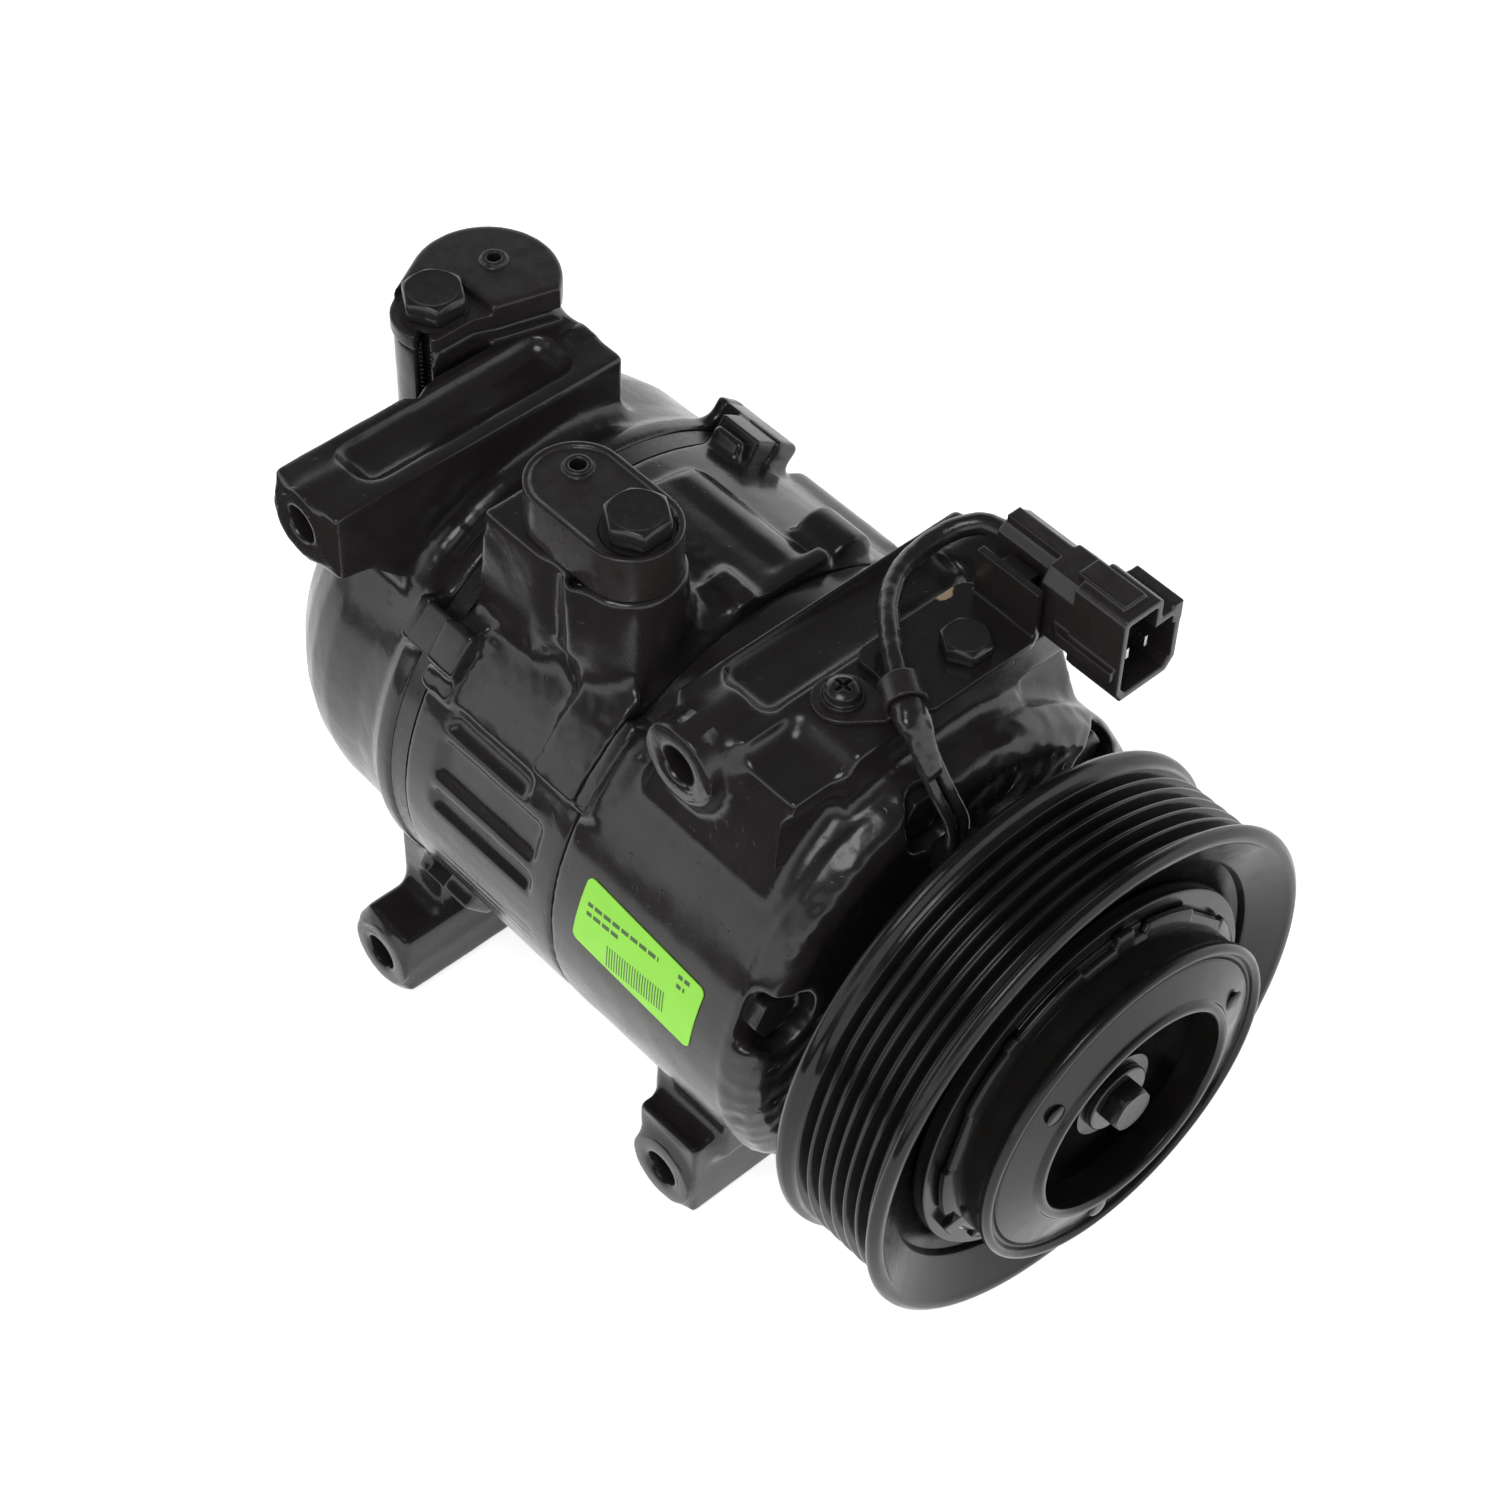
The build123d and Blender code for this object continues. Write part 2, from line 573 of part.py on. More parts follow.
def lead_bracket():
    """Bent plate under the lead with an upright tab for the connector."""
    plate = fillet((Pos(12.6, 48.5) * Rectangle(33.2, 22)).vertices(), 3.5)
    bracket = prism_z(plate, bar_top_z, 72)
    bracket = bracket + box(27.2, 29.2, 38.5, 56, bar_top_z, 84)
    bracket = bracket + box(27.2, 33.5, 44, 52, 80, 82)
    bracket = bracket - along(clip_at, clip_along, 5.2, 14, 14)
    return bracket - rod_z(3.15, 65, 76, *bracket_bolt_at)


def along(at, toward, r, before, after):
    """Cylinder about a line, from before to after the given point."""
    direction = Vector(*toward).normalized()
    start = Vector(*at) - direction * before
    return extrude(Plane(origin=start, z_dir=direction) * Circle(r), before + after)


def lead_clip():
    """Strap round the lead with a foot under its screw."""
    x, y = clip_screw_at
    foot = prism_z(stadium(x, y, -9.2, 45.0, (6.6, 3.2)), bar_top_z, 71.2)
    loop = along(clip_at, clip_along, 4.6, 3.0, 3.0)
    clip = (foot + loop) - rod_z(2.15, 65, 76, x, y)
    return clip - along(clip_at, clip_along, 3.6, 9.0, 9.0)


def connector_housing():
    """Two-way housing with its mouth toward the pulley side."""
    mouth = slab_xz([(30.0, 69.0), (32.0, 66.0), (45.5, 66.0), (47.8, 69.0), (47.8, 82.5), (45.8, 84.4),
                     (41.6, 84.4), (41.6, 89.2), (40.4, 90.2), (31.0, 90.2), (30.0, 89.2)], 17.8, 31.5)
    inside = slab_xz([(31.8, 70.0), (33.2, 68.0), (44.6, 68.0), (46.0, 70.0), (46.0, 81.4), (45.0, 82.4),
                      (39.8, 82.4), (39.8, 88.2), (31.8, 88.2)], 10, 29.5)
    collar = slab_xz([(30.5, 70), (46, 70), (46, 82), (41, 88), (32.5, 88), (30.5, 84)], 31.5, 41)
    tail = slab_xz([(34.2, 72), (43.5, 72), (43.5, 84), (41.0, 86), (36.0, 86), (34.2, 84)], 41, 57)
    body = (mouth - inside) + collar + tail
    return body - box(27, 33.6, 43.9, 52.1, 70, 82.1)


def connector_pins():
    """Two blade terminals inside the mouth."""
    return [box(x - 0.4, x + 0.4, 21, 29.5, 73.6, 76.4) for x in (36.2, 41.6)]


def coil_lead():
    """Sheathed lead round its loop, its grommet, then two wires down to the coil."""
    sheath = tube(lead_route, lead_r)
    grommet = along(clip_at, clip_along, 3.6, 4.0, 6.0) - along(clip_at, clip_along, lead_r, 9.0, 2.0)
    wires = [tube(route, wire_r) for route in wire_routes]
    return [sheath, grommet] + wires


def polar_point(radius, y, degrees):
    """Point at a radius and angle about the shaft."""
    x, z = polar(radius, degrees)
    return (x, y, z)


def label():
    """Curved sticker on the left side of the front housing."""
    skin = ring_y(body_r + 0.02, body_r + 0.27, 40, 86)
    patch = fillet((Rectangle(37.4, 18.2)).vertices(), 1.8)
    block = extrude(patch, 20)
    block = Rot(0, 0, -4) * block
    frame = Plane(origin=polar_point(52, 62.9, 167.7), x_dir=(0, -1, 0), z_dir=polar_point(1, 0, 167.7))
    return skin & (frame * block)


# --- Bearing --------------------------------------------------------------------

def bearing_race(r0, r1):
    """One race with a groove for each row of balls."""
    race = ring_y(r0, r1, bearing_y0, bearing_y1)
    for y in ball_row_ys:
        race = race - Pos(0, y, 0) * Rot(90, 0, 0) * Torus(ball_pitch_r, ball_r + groove_gap)
    return race


def bearing_balls():
    """Both rows of balls."""
    spots = [polar(ball_pitch_r, a) for a in around(ball_count, 0)]
    return [Pos(x, y, z) * Sphere(ball_r) for x, z in spots for y in ball_row_ys]


def bearing_cage(y):
    """Cage of one row, with a round pocket for each ball."""
    cage = ring_y(20.5, 22.0, y - 3.4, y + 3.4)
    for degrees in around(ball_count, 0):
        cage = cage - Rot(0, -degrees, 0) * rod_x(ball_r + 0.05, 18, 24, y, 0)
    return cage


# --- Coil -----------------------------------------------------------------------

def coil_shell():
    """Steel trough of the clutch coil on its rear plate, with a lead outlet."""
    trough = turned([
        (30.3, 17), (30.3, -3.2), (32, -3.2), (32, 15.5), (45, 15.5), (45, -3.2), (46.7, -3.2),
        (46.7, 17), (50, 17), (50, 19.5), (20.3, 19.5), (20.3, 17)])
    return trough + box(-11, -1.6, 19.4, 26.6, 40, 47.5)


def snap_ring(r0, r1, y0, y1):
    """Open retaining ring with its gap toward the bottom."""
    return ring_y(r0, r1, y0, y1) - box(-3, 3, y0 - 1, y1 + 1, -r1 - 2, -r0 + 3)


# --- Valves ---------------------------------------------------------------------

def control_valve():
    """Stepped valve body pushed up into the head, with two seal grooves."""
    body = rod_z(10.0, -51.8, -44, *valve_at) + rod_z(8.0, -45, -26, *valve_at)
    body = body - rod_z(3.1, -42, -25, *valve_at)
    for z0, z1 in valve_seal_zs:
        body = body - ring_z(6.6, 9, z0, z1, *valve_at)
    return body


def control_valve_clip():
    """Open ring that holds the valve in."""
    x, y = valve_at
    return ring_z(8.6, 11.2, -53, -51.8, x, y) - box(x - 4, x + 4, y, y + 20, -54, -51)


def relief_valve():
    """Pressure relief valve with its hexagon and vent."""
    hexagon = extrude(RegularPolygon(7.0, 6, major_radius=False), 5.5)
    valve = rod_x(6.0, 47, 58.5, relief_y, 0) + Pos(58.5, relief_y, 0) * Rot(0, 90, 0) * hexagon
    return valve - rod_x(2.0, 60, 70, relief_y, 0)


# --- Fasteners ------------------------------------------------------------------

def through_bolt(x, z):
    """Long bolt from the front housing into the rear head."""
    return hex_y(10.0, 31.0, 35.0, x, z) + rod_y(bolt_shank_r, 34.5, 162.5, x, z)


def clip_screw():
    """Domed cross-slot screw with its washer."""
    x, y = clip_screw_at
    head = rod_z(3.7, 72.2, 75.0, x, y) & Pos(x, y, 69.4) * Sphere(6.0)
    cross = box(x - 2.2, x + 2.2, y - 0.5, y + 0.5, 73.6, 76)
    cross = cross + box(x - 0.5, x + 0.5, y - 2.2, y + 2.2, 73.6, 76)
    return (head - cross) + rod_z(2.0, 57, 73, x, y) + ring_z(2.0, 4.6, 71.2, 72.2, x, y)


# --- Write every node -----------------------------------------------------------

write("front_housing", front_housing())
write("cylinder_block", cylinder_block())
write("rear_head", rear_head())
write("housing_o_ring", ring_y(44.8, chamber_r, 86, 88.2))
write("block_gasket", stack_disc(140.0, 140.5, bore_r))
write("suction_reeds", reed_disc(140.5, 140.9, 9.0))
write("valve_plate", stack_disc(140.9, 144.1, 3.6))
write("discharge_reeds", reed_disc(144.1, 144.5, 7.4))
write("head_gasket", stack_disc(144.5, 145.0, bore_r))
write("through_bolts", *[through_bolt(x, z) for x, z in bolt_at])

write("front_port_cap", front_cap())
write("rear_port_cap", rear_cap())
write("cap_bolts", cap_bolt(*front_cap_bolt, 88.3, 29), cap_bolt(*rear_cap_bolt, 78.8, 26))
write("cap_washers", ring_z(4.3, 7.9, 87.1, 88.3, *front_cap_bolt),
      ring_z(4.3, 7.6, 77.6, 78.8, *rear_cap_bolt))
write("cap_seals", ring_z(6.4, 8.2, 68, 71, *front_port), ring_z(6.4, 8.2, 66, 69, *rear_port))

write("control_valve", control_valve())
write("control_valve_seals", *[ring_z(6.6, 8.0, z0, z1, *valve_at) for z0, z1 in valve_seal_zs])
write("control_valve_clip", control_valve_clip())
write("control_valve_plunger", rod_z(3.06, -41, -28, *valve_at))
write("relief_valve", relief_valve())

write("coil_shell", coil_shell())
write("coil_winding", ring_y(32, 45, -2.4, 15.5))
write("coil_ring", snap_ring(19.2, 23.2, 15.8, 17))
write("bearing_inner_race", bearing_race(nose_r, 19.8))
write("bearing_outer_race", bearing_race(22.7, bearing_r))
write("bearing_balls", *bearing_balls())
write("bearing_cages", *[bearing_cage(y) for y in ball_row_ys])
write("bearing_seals", ring_y(20.0, 22.7, -6.4, -5.8), ring_y(20.0, 22.7, 12.8, 13.4))
write("bearing_ring", snap_ring(23.6, 26.2, 13.5, 14.7))

write("pulley", pulley())
write("armature_plate", armature())
write("leaf_springs", *[sector(38.4, 42.4, -12.6, -12.25, a - 24, a + 24) for a in around(3, 100)])
write("hub_core", hub_core())
write("hub_rubber", hub_rubber())
write("hub_shell", hub_shell())
rivet_at = [polar(rivet_ring_r, a) for a in rivet_angles]
write("hub_rivets", *[rod_y(2.7, -26.3, -20.0, x, z) for x, z in rivet_at])
write("hub_bolt", hex_y(10.0, -26.4, -22.2) + rod_y(3.0, -23, -8))
write("hub_washer", ring_y(3.1, 8.2, -22.2, -20.5))

write("drive_shaft", drive_shaft())
write("lug_plate", lug_plate())
write("swash_plate", swash_plate())
write("return_spring", return_spring())
write("front_shaft_bush", ring_y(shaft_r + running_gap, 12.5, 20, 34))
write("rear_shaft_bush", ring_y(journal_r + running_gap, 12.5, 92, 114))
write("front_thrust_washer", ring_y(13, 24, chamber_y, 46))
write("rear_thrust_washer", ring_y(4.2, 12.4, 119.9, 122))
write("pistons", *[piston(x, z) for x, z in bore_at])
ring_r0 = bore_r - piston_gap - 1.3
ring_r1 = bore_r - 0.01
write("piston_rings", *[ring_y(ring_r0, ring_r1, y, y + 2, x, z) for x, z in bore_at for y in (126, 131)])
write("shoes", *[half for x, z in bore_at for half in shoe_pair(x, z)])
write("shaft_seal", ring_y(shaft_nose_r + 0.05, 14, 2, 8.5))
write("seal_clip", snap_ring(12.2, 15, 0, 1.2))

write("lead_bracket", lead_bracket())
write("bracket_bolt", hex_z(10.0, 72, 76, *bracket_bolt_at) + rod_z(3.0, 54, 73, *bracket_bolt_at))
write("lead_clip", lead_clip())
write("clip_screw", clip_screw())
write("connector_housing", connector_housing())
write("connector_pins", *connector_pins())
write("coil_lead", *coil_lead())
write("label", label())
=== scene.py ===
"""Looks of a belt-driven air-conditioning compressor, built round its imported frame.

Lengths in this file are millimetres in the frame's own axes, and MM turns them into metres.
"""

import json
import math

import bmesh
import bpy
import numpy as np
from mathutils import Matrix, Vector, noise

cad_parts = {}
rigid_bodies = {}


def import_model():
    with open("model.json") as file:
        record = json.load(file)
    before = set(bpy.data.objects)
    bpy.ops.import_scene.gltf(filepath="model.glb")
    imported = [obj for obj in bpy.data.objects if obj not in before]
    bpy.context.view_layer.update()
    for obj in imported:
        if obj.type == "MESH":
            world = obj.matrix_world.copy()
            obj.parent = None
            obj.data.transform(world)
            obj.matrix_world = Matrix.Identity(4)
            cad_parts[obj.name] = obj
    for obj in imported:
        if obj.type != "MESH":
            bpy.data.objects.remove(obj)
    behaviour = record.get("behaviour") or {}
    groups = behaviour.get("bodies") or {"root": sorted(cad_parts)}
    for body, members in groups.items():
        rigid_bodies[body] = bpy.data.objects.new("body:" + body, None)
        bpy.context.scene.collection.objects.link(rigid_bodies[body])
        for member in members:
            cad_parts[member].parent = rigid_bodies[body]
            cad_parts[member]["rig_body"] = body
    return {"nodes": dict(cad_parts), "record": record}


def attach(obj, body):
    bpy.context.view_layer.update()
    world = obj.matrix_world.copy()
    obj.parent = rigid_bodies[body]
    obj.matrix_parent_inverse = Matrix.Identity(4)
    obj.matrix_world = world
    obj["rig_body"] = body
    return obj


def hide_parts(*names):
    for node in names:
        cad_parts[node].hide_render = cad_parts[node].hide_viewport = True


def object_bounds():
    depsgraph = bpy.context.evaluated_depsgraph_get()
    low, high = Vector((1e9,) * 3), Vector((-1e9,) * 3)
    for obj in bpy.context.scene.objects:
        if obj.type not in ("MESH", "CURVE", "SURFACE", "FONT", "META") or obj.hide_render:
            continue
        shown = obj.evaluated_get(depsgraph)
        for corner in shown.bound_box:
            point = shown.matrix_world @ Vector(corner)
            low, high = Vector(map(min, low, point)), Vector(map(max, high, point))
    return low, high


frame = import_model()
cad_low, cad_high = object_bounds()
nodes = frame["nodes"]
slot_of = {part["node"]: part["material_slot"] for part in frame["record"]["subparts"]}
MM = 0.001

# --- Sizes shared by several pieces ------------------------------------------------

FRONT_HOLE = (66.7, 61.2)
REAR_HOLE = (170.5, 61.0)
FRONT_EAR_HOLE = (60.4, -65.0)
REAR_EAR_HOLE = (150.6, -65.0)
HOLE_R = 4.5
FRONT_CAP_BOLT = (-24.0, 102.2)
PIN_BOSS = (-35.2, 107.8)
REAR_CAP_BOLT = (-6.6, 190.3)
BRACKET_BOLT = (14.5, 45.2)
BARE_SPOT = (22.2, 60.2, 72.3)
REAR_NIPPLE = (12.2, 192.5)
RIM_R = 58.8                   # paint reaches this far in on the plate stack
LABEL_DEGREES = 167.7          # place of the sticker's middle round the shaft
LABEL_Y = 62.9
LABEL_R = 60.0
LABEL_TILT = 4.0
STRIPES_PER_MM = 1.25
DASHES_PER_MM = 0.36
FRONT_EDGE_Y = 37.5            # painted lumps start here and grow to full size over FRONT_EDGE_WIDTH
FRONT_EDGE_WIDTH = 4.0
TOWER_FOOT_R = 62.0
WINDOW_DEGREES = -144.8        # way the slot beside the rear cap bolt opens


# --- Mesh tools ---------------------------------------------------------------------

def link(name, mesh):
    """New object in the scene."""
    obj = bpy.data.objects.new(name, mesh)
    bpy.context.scene.collection.objects.link(obj)
    return obj


def apply_modifiers(obj):
    """Make obj's modified mesh its own mesh."""
    depsgraph = bpy.context.evaluated_depsgraph_get()
    mesh = bpy.data.meshes.new_from_object(obj.evaluated_get(depsgraph))
    obj.modifiers.clear()
    old = obj.data
    obj.data = mesh
    bpy.data.meshes.remove(old)


def polish(obj):
    """Smooth shading over the whole mesh."""
    obj.data.polygons.foreach_set("use_smooth", [True] * len(obj.data.polygons))
    obj.data.update()


def revoxel(obj, size):
    """Rebuild obj as one closed skin of even quads."""
    modifier = obj.modifiers.new("voxels", "REMESH")
    modifier.mode = "VOXEL"
    modifier.voxel_size = size * MM
    modifier.use_smooth_shade = True
    apply_modifiers(obj)


def swell(obj, amount_of):
    """Push every vertex out along its normal by amount_of its place."""
    mesh = obj.data
    count = len(mesh.vertices)
    places = np.empty(count * 3, np.float32)
    normals = np.empty(count * 3, np.float32)
    mesh.vertices.foreach_get("co", places)
    mesh.vertex_normals.foreach_get("vector", normals)
    places = places.reshape(-1, 3)
    places = places + normals.reshape(-1, 3) * (amount_of(places / MM) * MM)[:, None]
    mesh.vertices.foreach_set("co", places.ravel())
    mesh.update()


def smooth(obj, rounds, factor=0.5):
    """Relax the skin, which rounds its edges."""
    modifier = obj.modifiers.new("smooth", "SMOOTH")
    modifier.factor = factor
    modifier.iterations = rounds
    apply_modifiers(obj)


def roughen(obj, amount_of, size):
    """Move the skin in and out by noise whose lumps are size millimetres."""
    mesh = obj.data
    count = len(mesh.vertices)
    places = np.empty(count * 3, np.float32)
    mesh.vertices.foreach_get("co", places)
    places = places.reshape(-1, 3) / MM
    lumps = np.array([noise.noise(Vector(place) / size) for place in places], np.float32)
    swell(obj, lambda same: lumps * amount_of(places))


def thin_out(obj, faces):
    """Collapse edges until about that many triangles are left."""
    triangles = sum(len(p.vertices) - 2 for p in obj.data.polygons)
    if triangles <= faces:
        return
    modifier = obj.modifiers.new("fewer", "DECIMATE")
    modifier.ratio = faces / triangles
    apply_modifiers(obj)


def carve(obj, cutter):
    """Take the cutter out of obj."""
    modifier = obj.modifiers.new("carve", "BOOLEAN")
    modifier.operation = "DIFFERENCE"
    modifier.solver = "MANIFOLD"
    modifier.object = cutter
    apply_modifiers(obj)
    bpy.data.objects.remove(cutter)


def rod(start, end, radius, sides=64):
    """Closed cylinder between two points."""
    a = Vector(start)
    b = Vector(end)
    turn = (b - a).to_track_quat("Z", "Y").to_matrix().to_4x4()
    place = Matrix.Translation((a + b) / 2 * MM) @ turn
    bm = bmesh.new()
    bmesh.ops.create_cone(bm, cap_ends=True, segments=sides, radius1=radius * MM, radius2=radius * MM,
                          depth=(b - a).length * MM, matrix=place)
    mesh = bpy.data.meshes.new("rod")
    bm.to_mesh(mesh)
    bm.free()
    return link("rod", mesh)


def rounded(points, radius, steps=4):
    """Closed outline with every corner rounded by up to radius."""
    result = []
    count = len(points)
    for k, corner in enumerate(points):
        at = Vector(corner)
        before = Vector(points[k - 1]) - at
        after = Vector(points[(k + 1) % count]) - at
        reach = min(radius, before.length * 0.45, after.length * 0.45)
        first = at + before.normalized() * reach
        last = at + after.normalized() * reach
        for step in range(steps + 1):
            t = step / steps
            result.append(first * (1 - t) ** 2 + at * 2 * t * (1 - t) + last * t ** 2)
    return result


def lathe(name, outline, segments=256):
    """Solid turned about Y from a closed (radius, y) outline, or from a function of the angle."""
    bm = bmesh.new()
    rings = []
    for k in range(segments):
        degrees = 360.0 * k / segments
        across = math.cos(math.radians(degrees)) * MM
        up = math.sin(math.radians(degrees)) * MM
        points = outline(degrees) if callable(outline) else outline
        rings.append([bm.verts.new((r * across, y * MM, r * up)) for r, y in points])
    for here, there in zip(rings, rings[1:] + rings[:1]):
        for j in range(len(here)):
            n = (j + 1) % len(here)
            bm.faces.new((here[j], here[n], there[n], there[j]))
    bmesh.ops.remove_doubles(bm, verts=bm.verts, dist=1e-7)
    bmesh.ops.dissolve_degenerate(bm, edges=bm.edges, dist=1e-7)
    bmesh.ops.recalc_face_normals(bm, faces=bm.faces)
    mesh = bpy.data.meshes.new(name)
    bm.to_mesh(mesh)
    bm.free()
    obj = link(name, mesh)
    polish(obj)
    return obj


def upright(obj, x, y):
    """Stand a piece that was turned about Y on Z, over a point."""
    obj.data.transform(Matrix.Translation((x * MM, y * MM, 0)) @ Matrix.Rotation(math.pi / 2, 4, "X"))
    return obj


def joined(name, *parts):
    """One object from several."""
    bm = bmesh.new()
    for part in parts:
        part.data.transform(part.matrix_basis)
        bm.from_mesh(part.data)
        bpy.data.objects.remove(part)
    mesh = bpy.data.meshes.new(name)
    bm.to_mesh(mesh)
    bm.free()
    obj = link(name, mesh)
    polish(obj)
    return obj


def copy_of(name, *sources):
    """One object with copies of CAD nodes' meshes."""
    bm = bmesh.new()
    for source in sources:
        bm.from_mesh(nodes[source].data)
    mesh = bpy.data.meshes.new(name)
    bm.to_mesh(mesh)
    bm.free()
    return link(name, mesh)


def stand_in(obj, *sources, material=None):
    """Show obj in place of CAD nodes, on their body, with their slot's finish."""
    body = nodes[sources[0]]["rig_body"]
    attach(obj, body)
    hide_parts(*sources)
    obj.data.materials.clear()
    obj.data.materials.append(material or finishes[slot_of[sources[0]]])
    return obj


def softened(name, source, voxel, rounds, faces, material=None, dome=None):
    """Rounded-edge copy of one CAD node.

    dome is (rounds, height, x, y, radius): all above the height is softened, except round the spot.
    """
    obj = copy_of(name, source)
    revoxel(obj, voxel)
    smooth(obj, rounds)
    if dome:
        more, height, x, y, spot_radius = dome
        group = obj.vertex_groups.new(name="dome")
        spots = np.empty(len(obj.data.vertices) * 3, np.float32)
        obj.data.vertices.foreach_get("co", spots)
        spots = spots.reshape(-1, 3) / MM
        away = np.hypot(spots[:, 0] - x, spots[:, 1] - y)
        chosen = np.nonzero((spots[:, 2] > height) & (away > spot_radius))[0]
        group.add([int(index) for index in chosen], 1.0, "REPLACE")
        modifier = obj.modifiers.new("dome", "SMOOTH")
        modifier.factor = 0.6
        modifier.iterations = more
        modifier.vertex_group = "dome"
        apply_modifiers(obj)
    thin_out(obj, faces)
    polish(obj)
    return stand_in(obj, source, material=material)


# --- Materials ----------------------------------------------------------------------

class Shader:
    """Small helper round one material's node tree."""

    def __init__(self, name, color, roughness, metallic=0.0):
        self.material = bpy.data.materials.new(name)
        self.material.use_nodes = True
        self.tree = self.material.node_tree
        self.base = self.tree.nodes["Principled BSDF"]
        self.base.inputs["Base Color"].default_value = (*color, 1)
        self.base.inputs["Roughness"].default_value = roughness
        self.base.inputs["Metallic"].default_value = metallic
        self.place = self.node("ShaderNodeTexCoord").outputs["Object"]
        self.height = None

    def node(self, kind, **values):
        """New node with its settings and unlinked inputs."""
        made = self.tree.nodes.new(kind)
        for key, value in values.items():
            if hasattr(made, key):
                setattr(made, key, value)
            else:
                made.inputs[key.replace("_", " ")].default_value = value
        return made

    def join(self, output, node, socket):
        """Link an output to a node's input."""
        self.tree.links.new(output, node.inputs[socket])

    def math(self, operation, a, b):
        """Math node over two outputs or numbers."""
        made = self.node("ShaderNodeMath", operation=operation)
        for socket, value in enumerate((a, b)):
            if isinstance(value, (int, float)):
                made.inputs[socket].default_value = value
            else:
                self.join(value, made, socket)
        return made.outputs[0]

    def grain(self, size, detail=3.0, place=None):
        """Noise whose lumps are about size millimetres."""
        made = self.node("ShaderNodeTexNoise", Scale=1.0 / (size * MM), Detail=detail)
        self.join(place or self.place, made, "Vector")
        return made.outputs["Fac"]

    def ramp(self, value, low, high, start=0.3, end=0.7):
        """Map a 0 to 1 output to low to high."""
        made = self.node("ShaderNodeMapRange", From_Min=start, From_Max=end, To_Min=low, To_Max=high)
        self.join(value, made, "Value")
        return made.outputs["Result"]

    def blend(self, value, first, second):
        """Mix two colours by an output."""
        made = self.node("ShaderNodeMix", data_type="RGBA")
        self.join(value, made, "Factor")
        made.inputs["A"].default_value = (*first, 1)
        made.inputs["B"].default_value = (*second, 1)
        return made.outputs["Result"]

    def relief(self, value, depth):
        """Add a height, in millimetres, to the surface."""
        scaled = self.math("MULTIPLY", value, depth * MM)
        self.height = scaled if self.height is None else self.math("ADD", self.height, scaled)

    def finish(self):
        """Join the heights to the surface's normal."""
        if self.height is not None:
            bump = self.node("ShaderNodeBump", Strength=1.0, Distance=1.0)
            self.join(self.height, bump, "Height")
            self.join(bump.outputs["Normal"], self.base, "Normal")
        return self.material


def turned_place(shader, stretch):
    """Coordinates that run (radius, y) so that noise makes rings about the shaft."""
    split = shader.node("ShaderNodeSeparateXYZ")
    shader.join(shader.place, split, "Vector")
    squares = shader.math("ADD", shader.math("MULTIPLY", split.outputs["X"], split.outputs["X"]),
                          shader.math("MULTIPLY", split.outputs["Z"], split.outputs["Z"]))
    radius = shader.math("SQRT", squares, 0.0)
    angle = shader.math("ARCTAN2", split.outputs["Z"], split.outputs["X"])
    made = shader.node("ShaderNodeCombineXYZ")
    shader.join(radius, made, "X")
    shader.join(split.outputs["Y"], made, "Y")
    shader.join(shader.math("MULTIPLY", angle, stretch * MM), made, "Z")
    return made.outputs["Vector"]


def cast_paint():
    """Black paint over a cast surface: fine grain, slow waves and a few rough patches."""
    s = Shader("black_cast_paint", (0.02, 0.018, 0.017), 0.24)
    color = s.blend(s.grain(9.0), (0.0125, 0.0112, 0.0107), (0.0205, 0.0183, 0.0174))
    s.join(color, s.base, "Base Color")
    rough = s.ramp(s.grain(14.0, 4.0), 0.15, 0.27)
    s.join(s.math("ADD", rough, s.ramp(s.grain(0.7, 2.0), -0.02, 0.04)), s.base, "Roughness")
    s.relief(s.grain(0.9, 2.0), 0.007)
    s.relief(s.grain(3.2, 2.0), 0.04)
    s.relief(s.grain(16.0, 1.0), 0.2)
    pits = s.ramp(s.grain(2.2, 1.0), 0.0, 1.0, 0.70, 0.74)
    s.relief(pits, -0.03)
    return s.finish()


def turned_paint():
    """Gloss black paint over turned steel, with rings about the shaft."""
    s = Shader("black_turned_paint", (0.012, 0.011, 0.0105), 0.2)
    s.base.inputs["Specular IOR Level"].default_value = 0.34
    rings = turned_place(s, 6.0)
    s.join(s.blend(s.grain(6.0), (0.006, 0.0056, 0.0052), (0.012, 0.011, 0.0102)), s.base, "Base Color")
    s.join(s.ramp(s.grain(5.0, 4.0), 0.13, 0.28), s.base, "Roughness")
    s.relief(s.grain(0.5, 3.0, rings), 0.012)
    s.relief(s.grain(1.4, 2.0), 0.02)
    s.relief(s.grain(11.0, 1.0), 0.06)
    return s.finish()


def bolt_paint(name="black_bolt_paint", gloss=0.5):
    """Black paint over a forged bolt."""
    s = Shader(name, (0.016, 0.0145, 0.014), 0.22)
    s.base.inputs["Specular IOR Level"].default_value = gloss
    s.join(s.blend(s.grain(2.0), (0.012, 0.011, 0.0105), (0.021, 0.019, 0.018)), s.base, "Base Color")
    s.join(s.ramp(s.grain(1.6, 3.0), 0.14, 0.28), s.base, "Roughness")
    s.relief(s.grain(0.5, 2.0), 0.008)
    s.relief(s.grain(2.6, 1.0), 0.03)
    return s.finish()


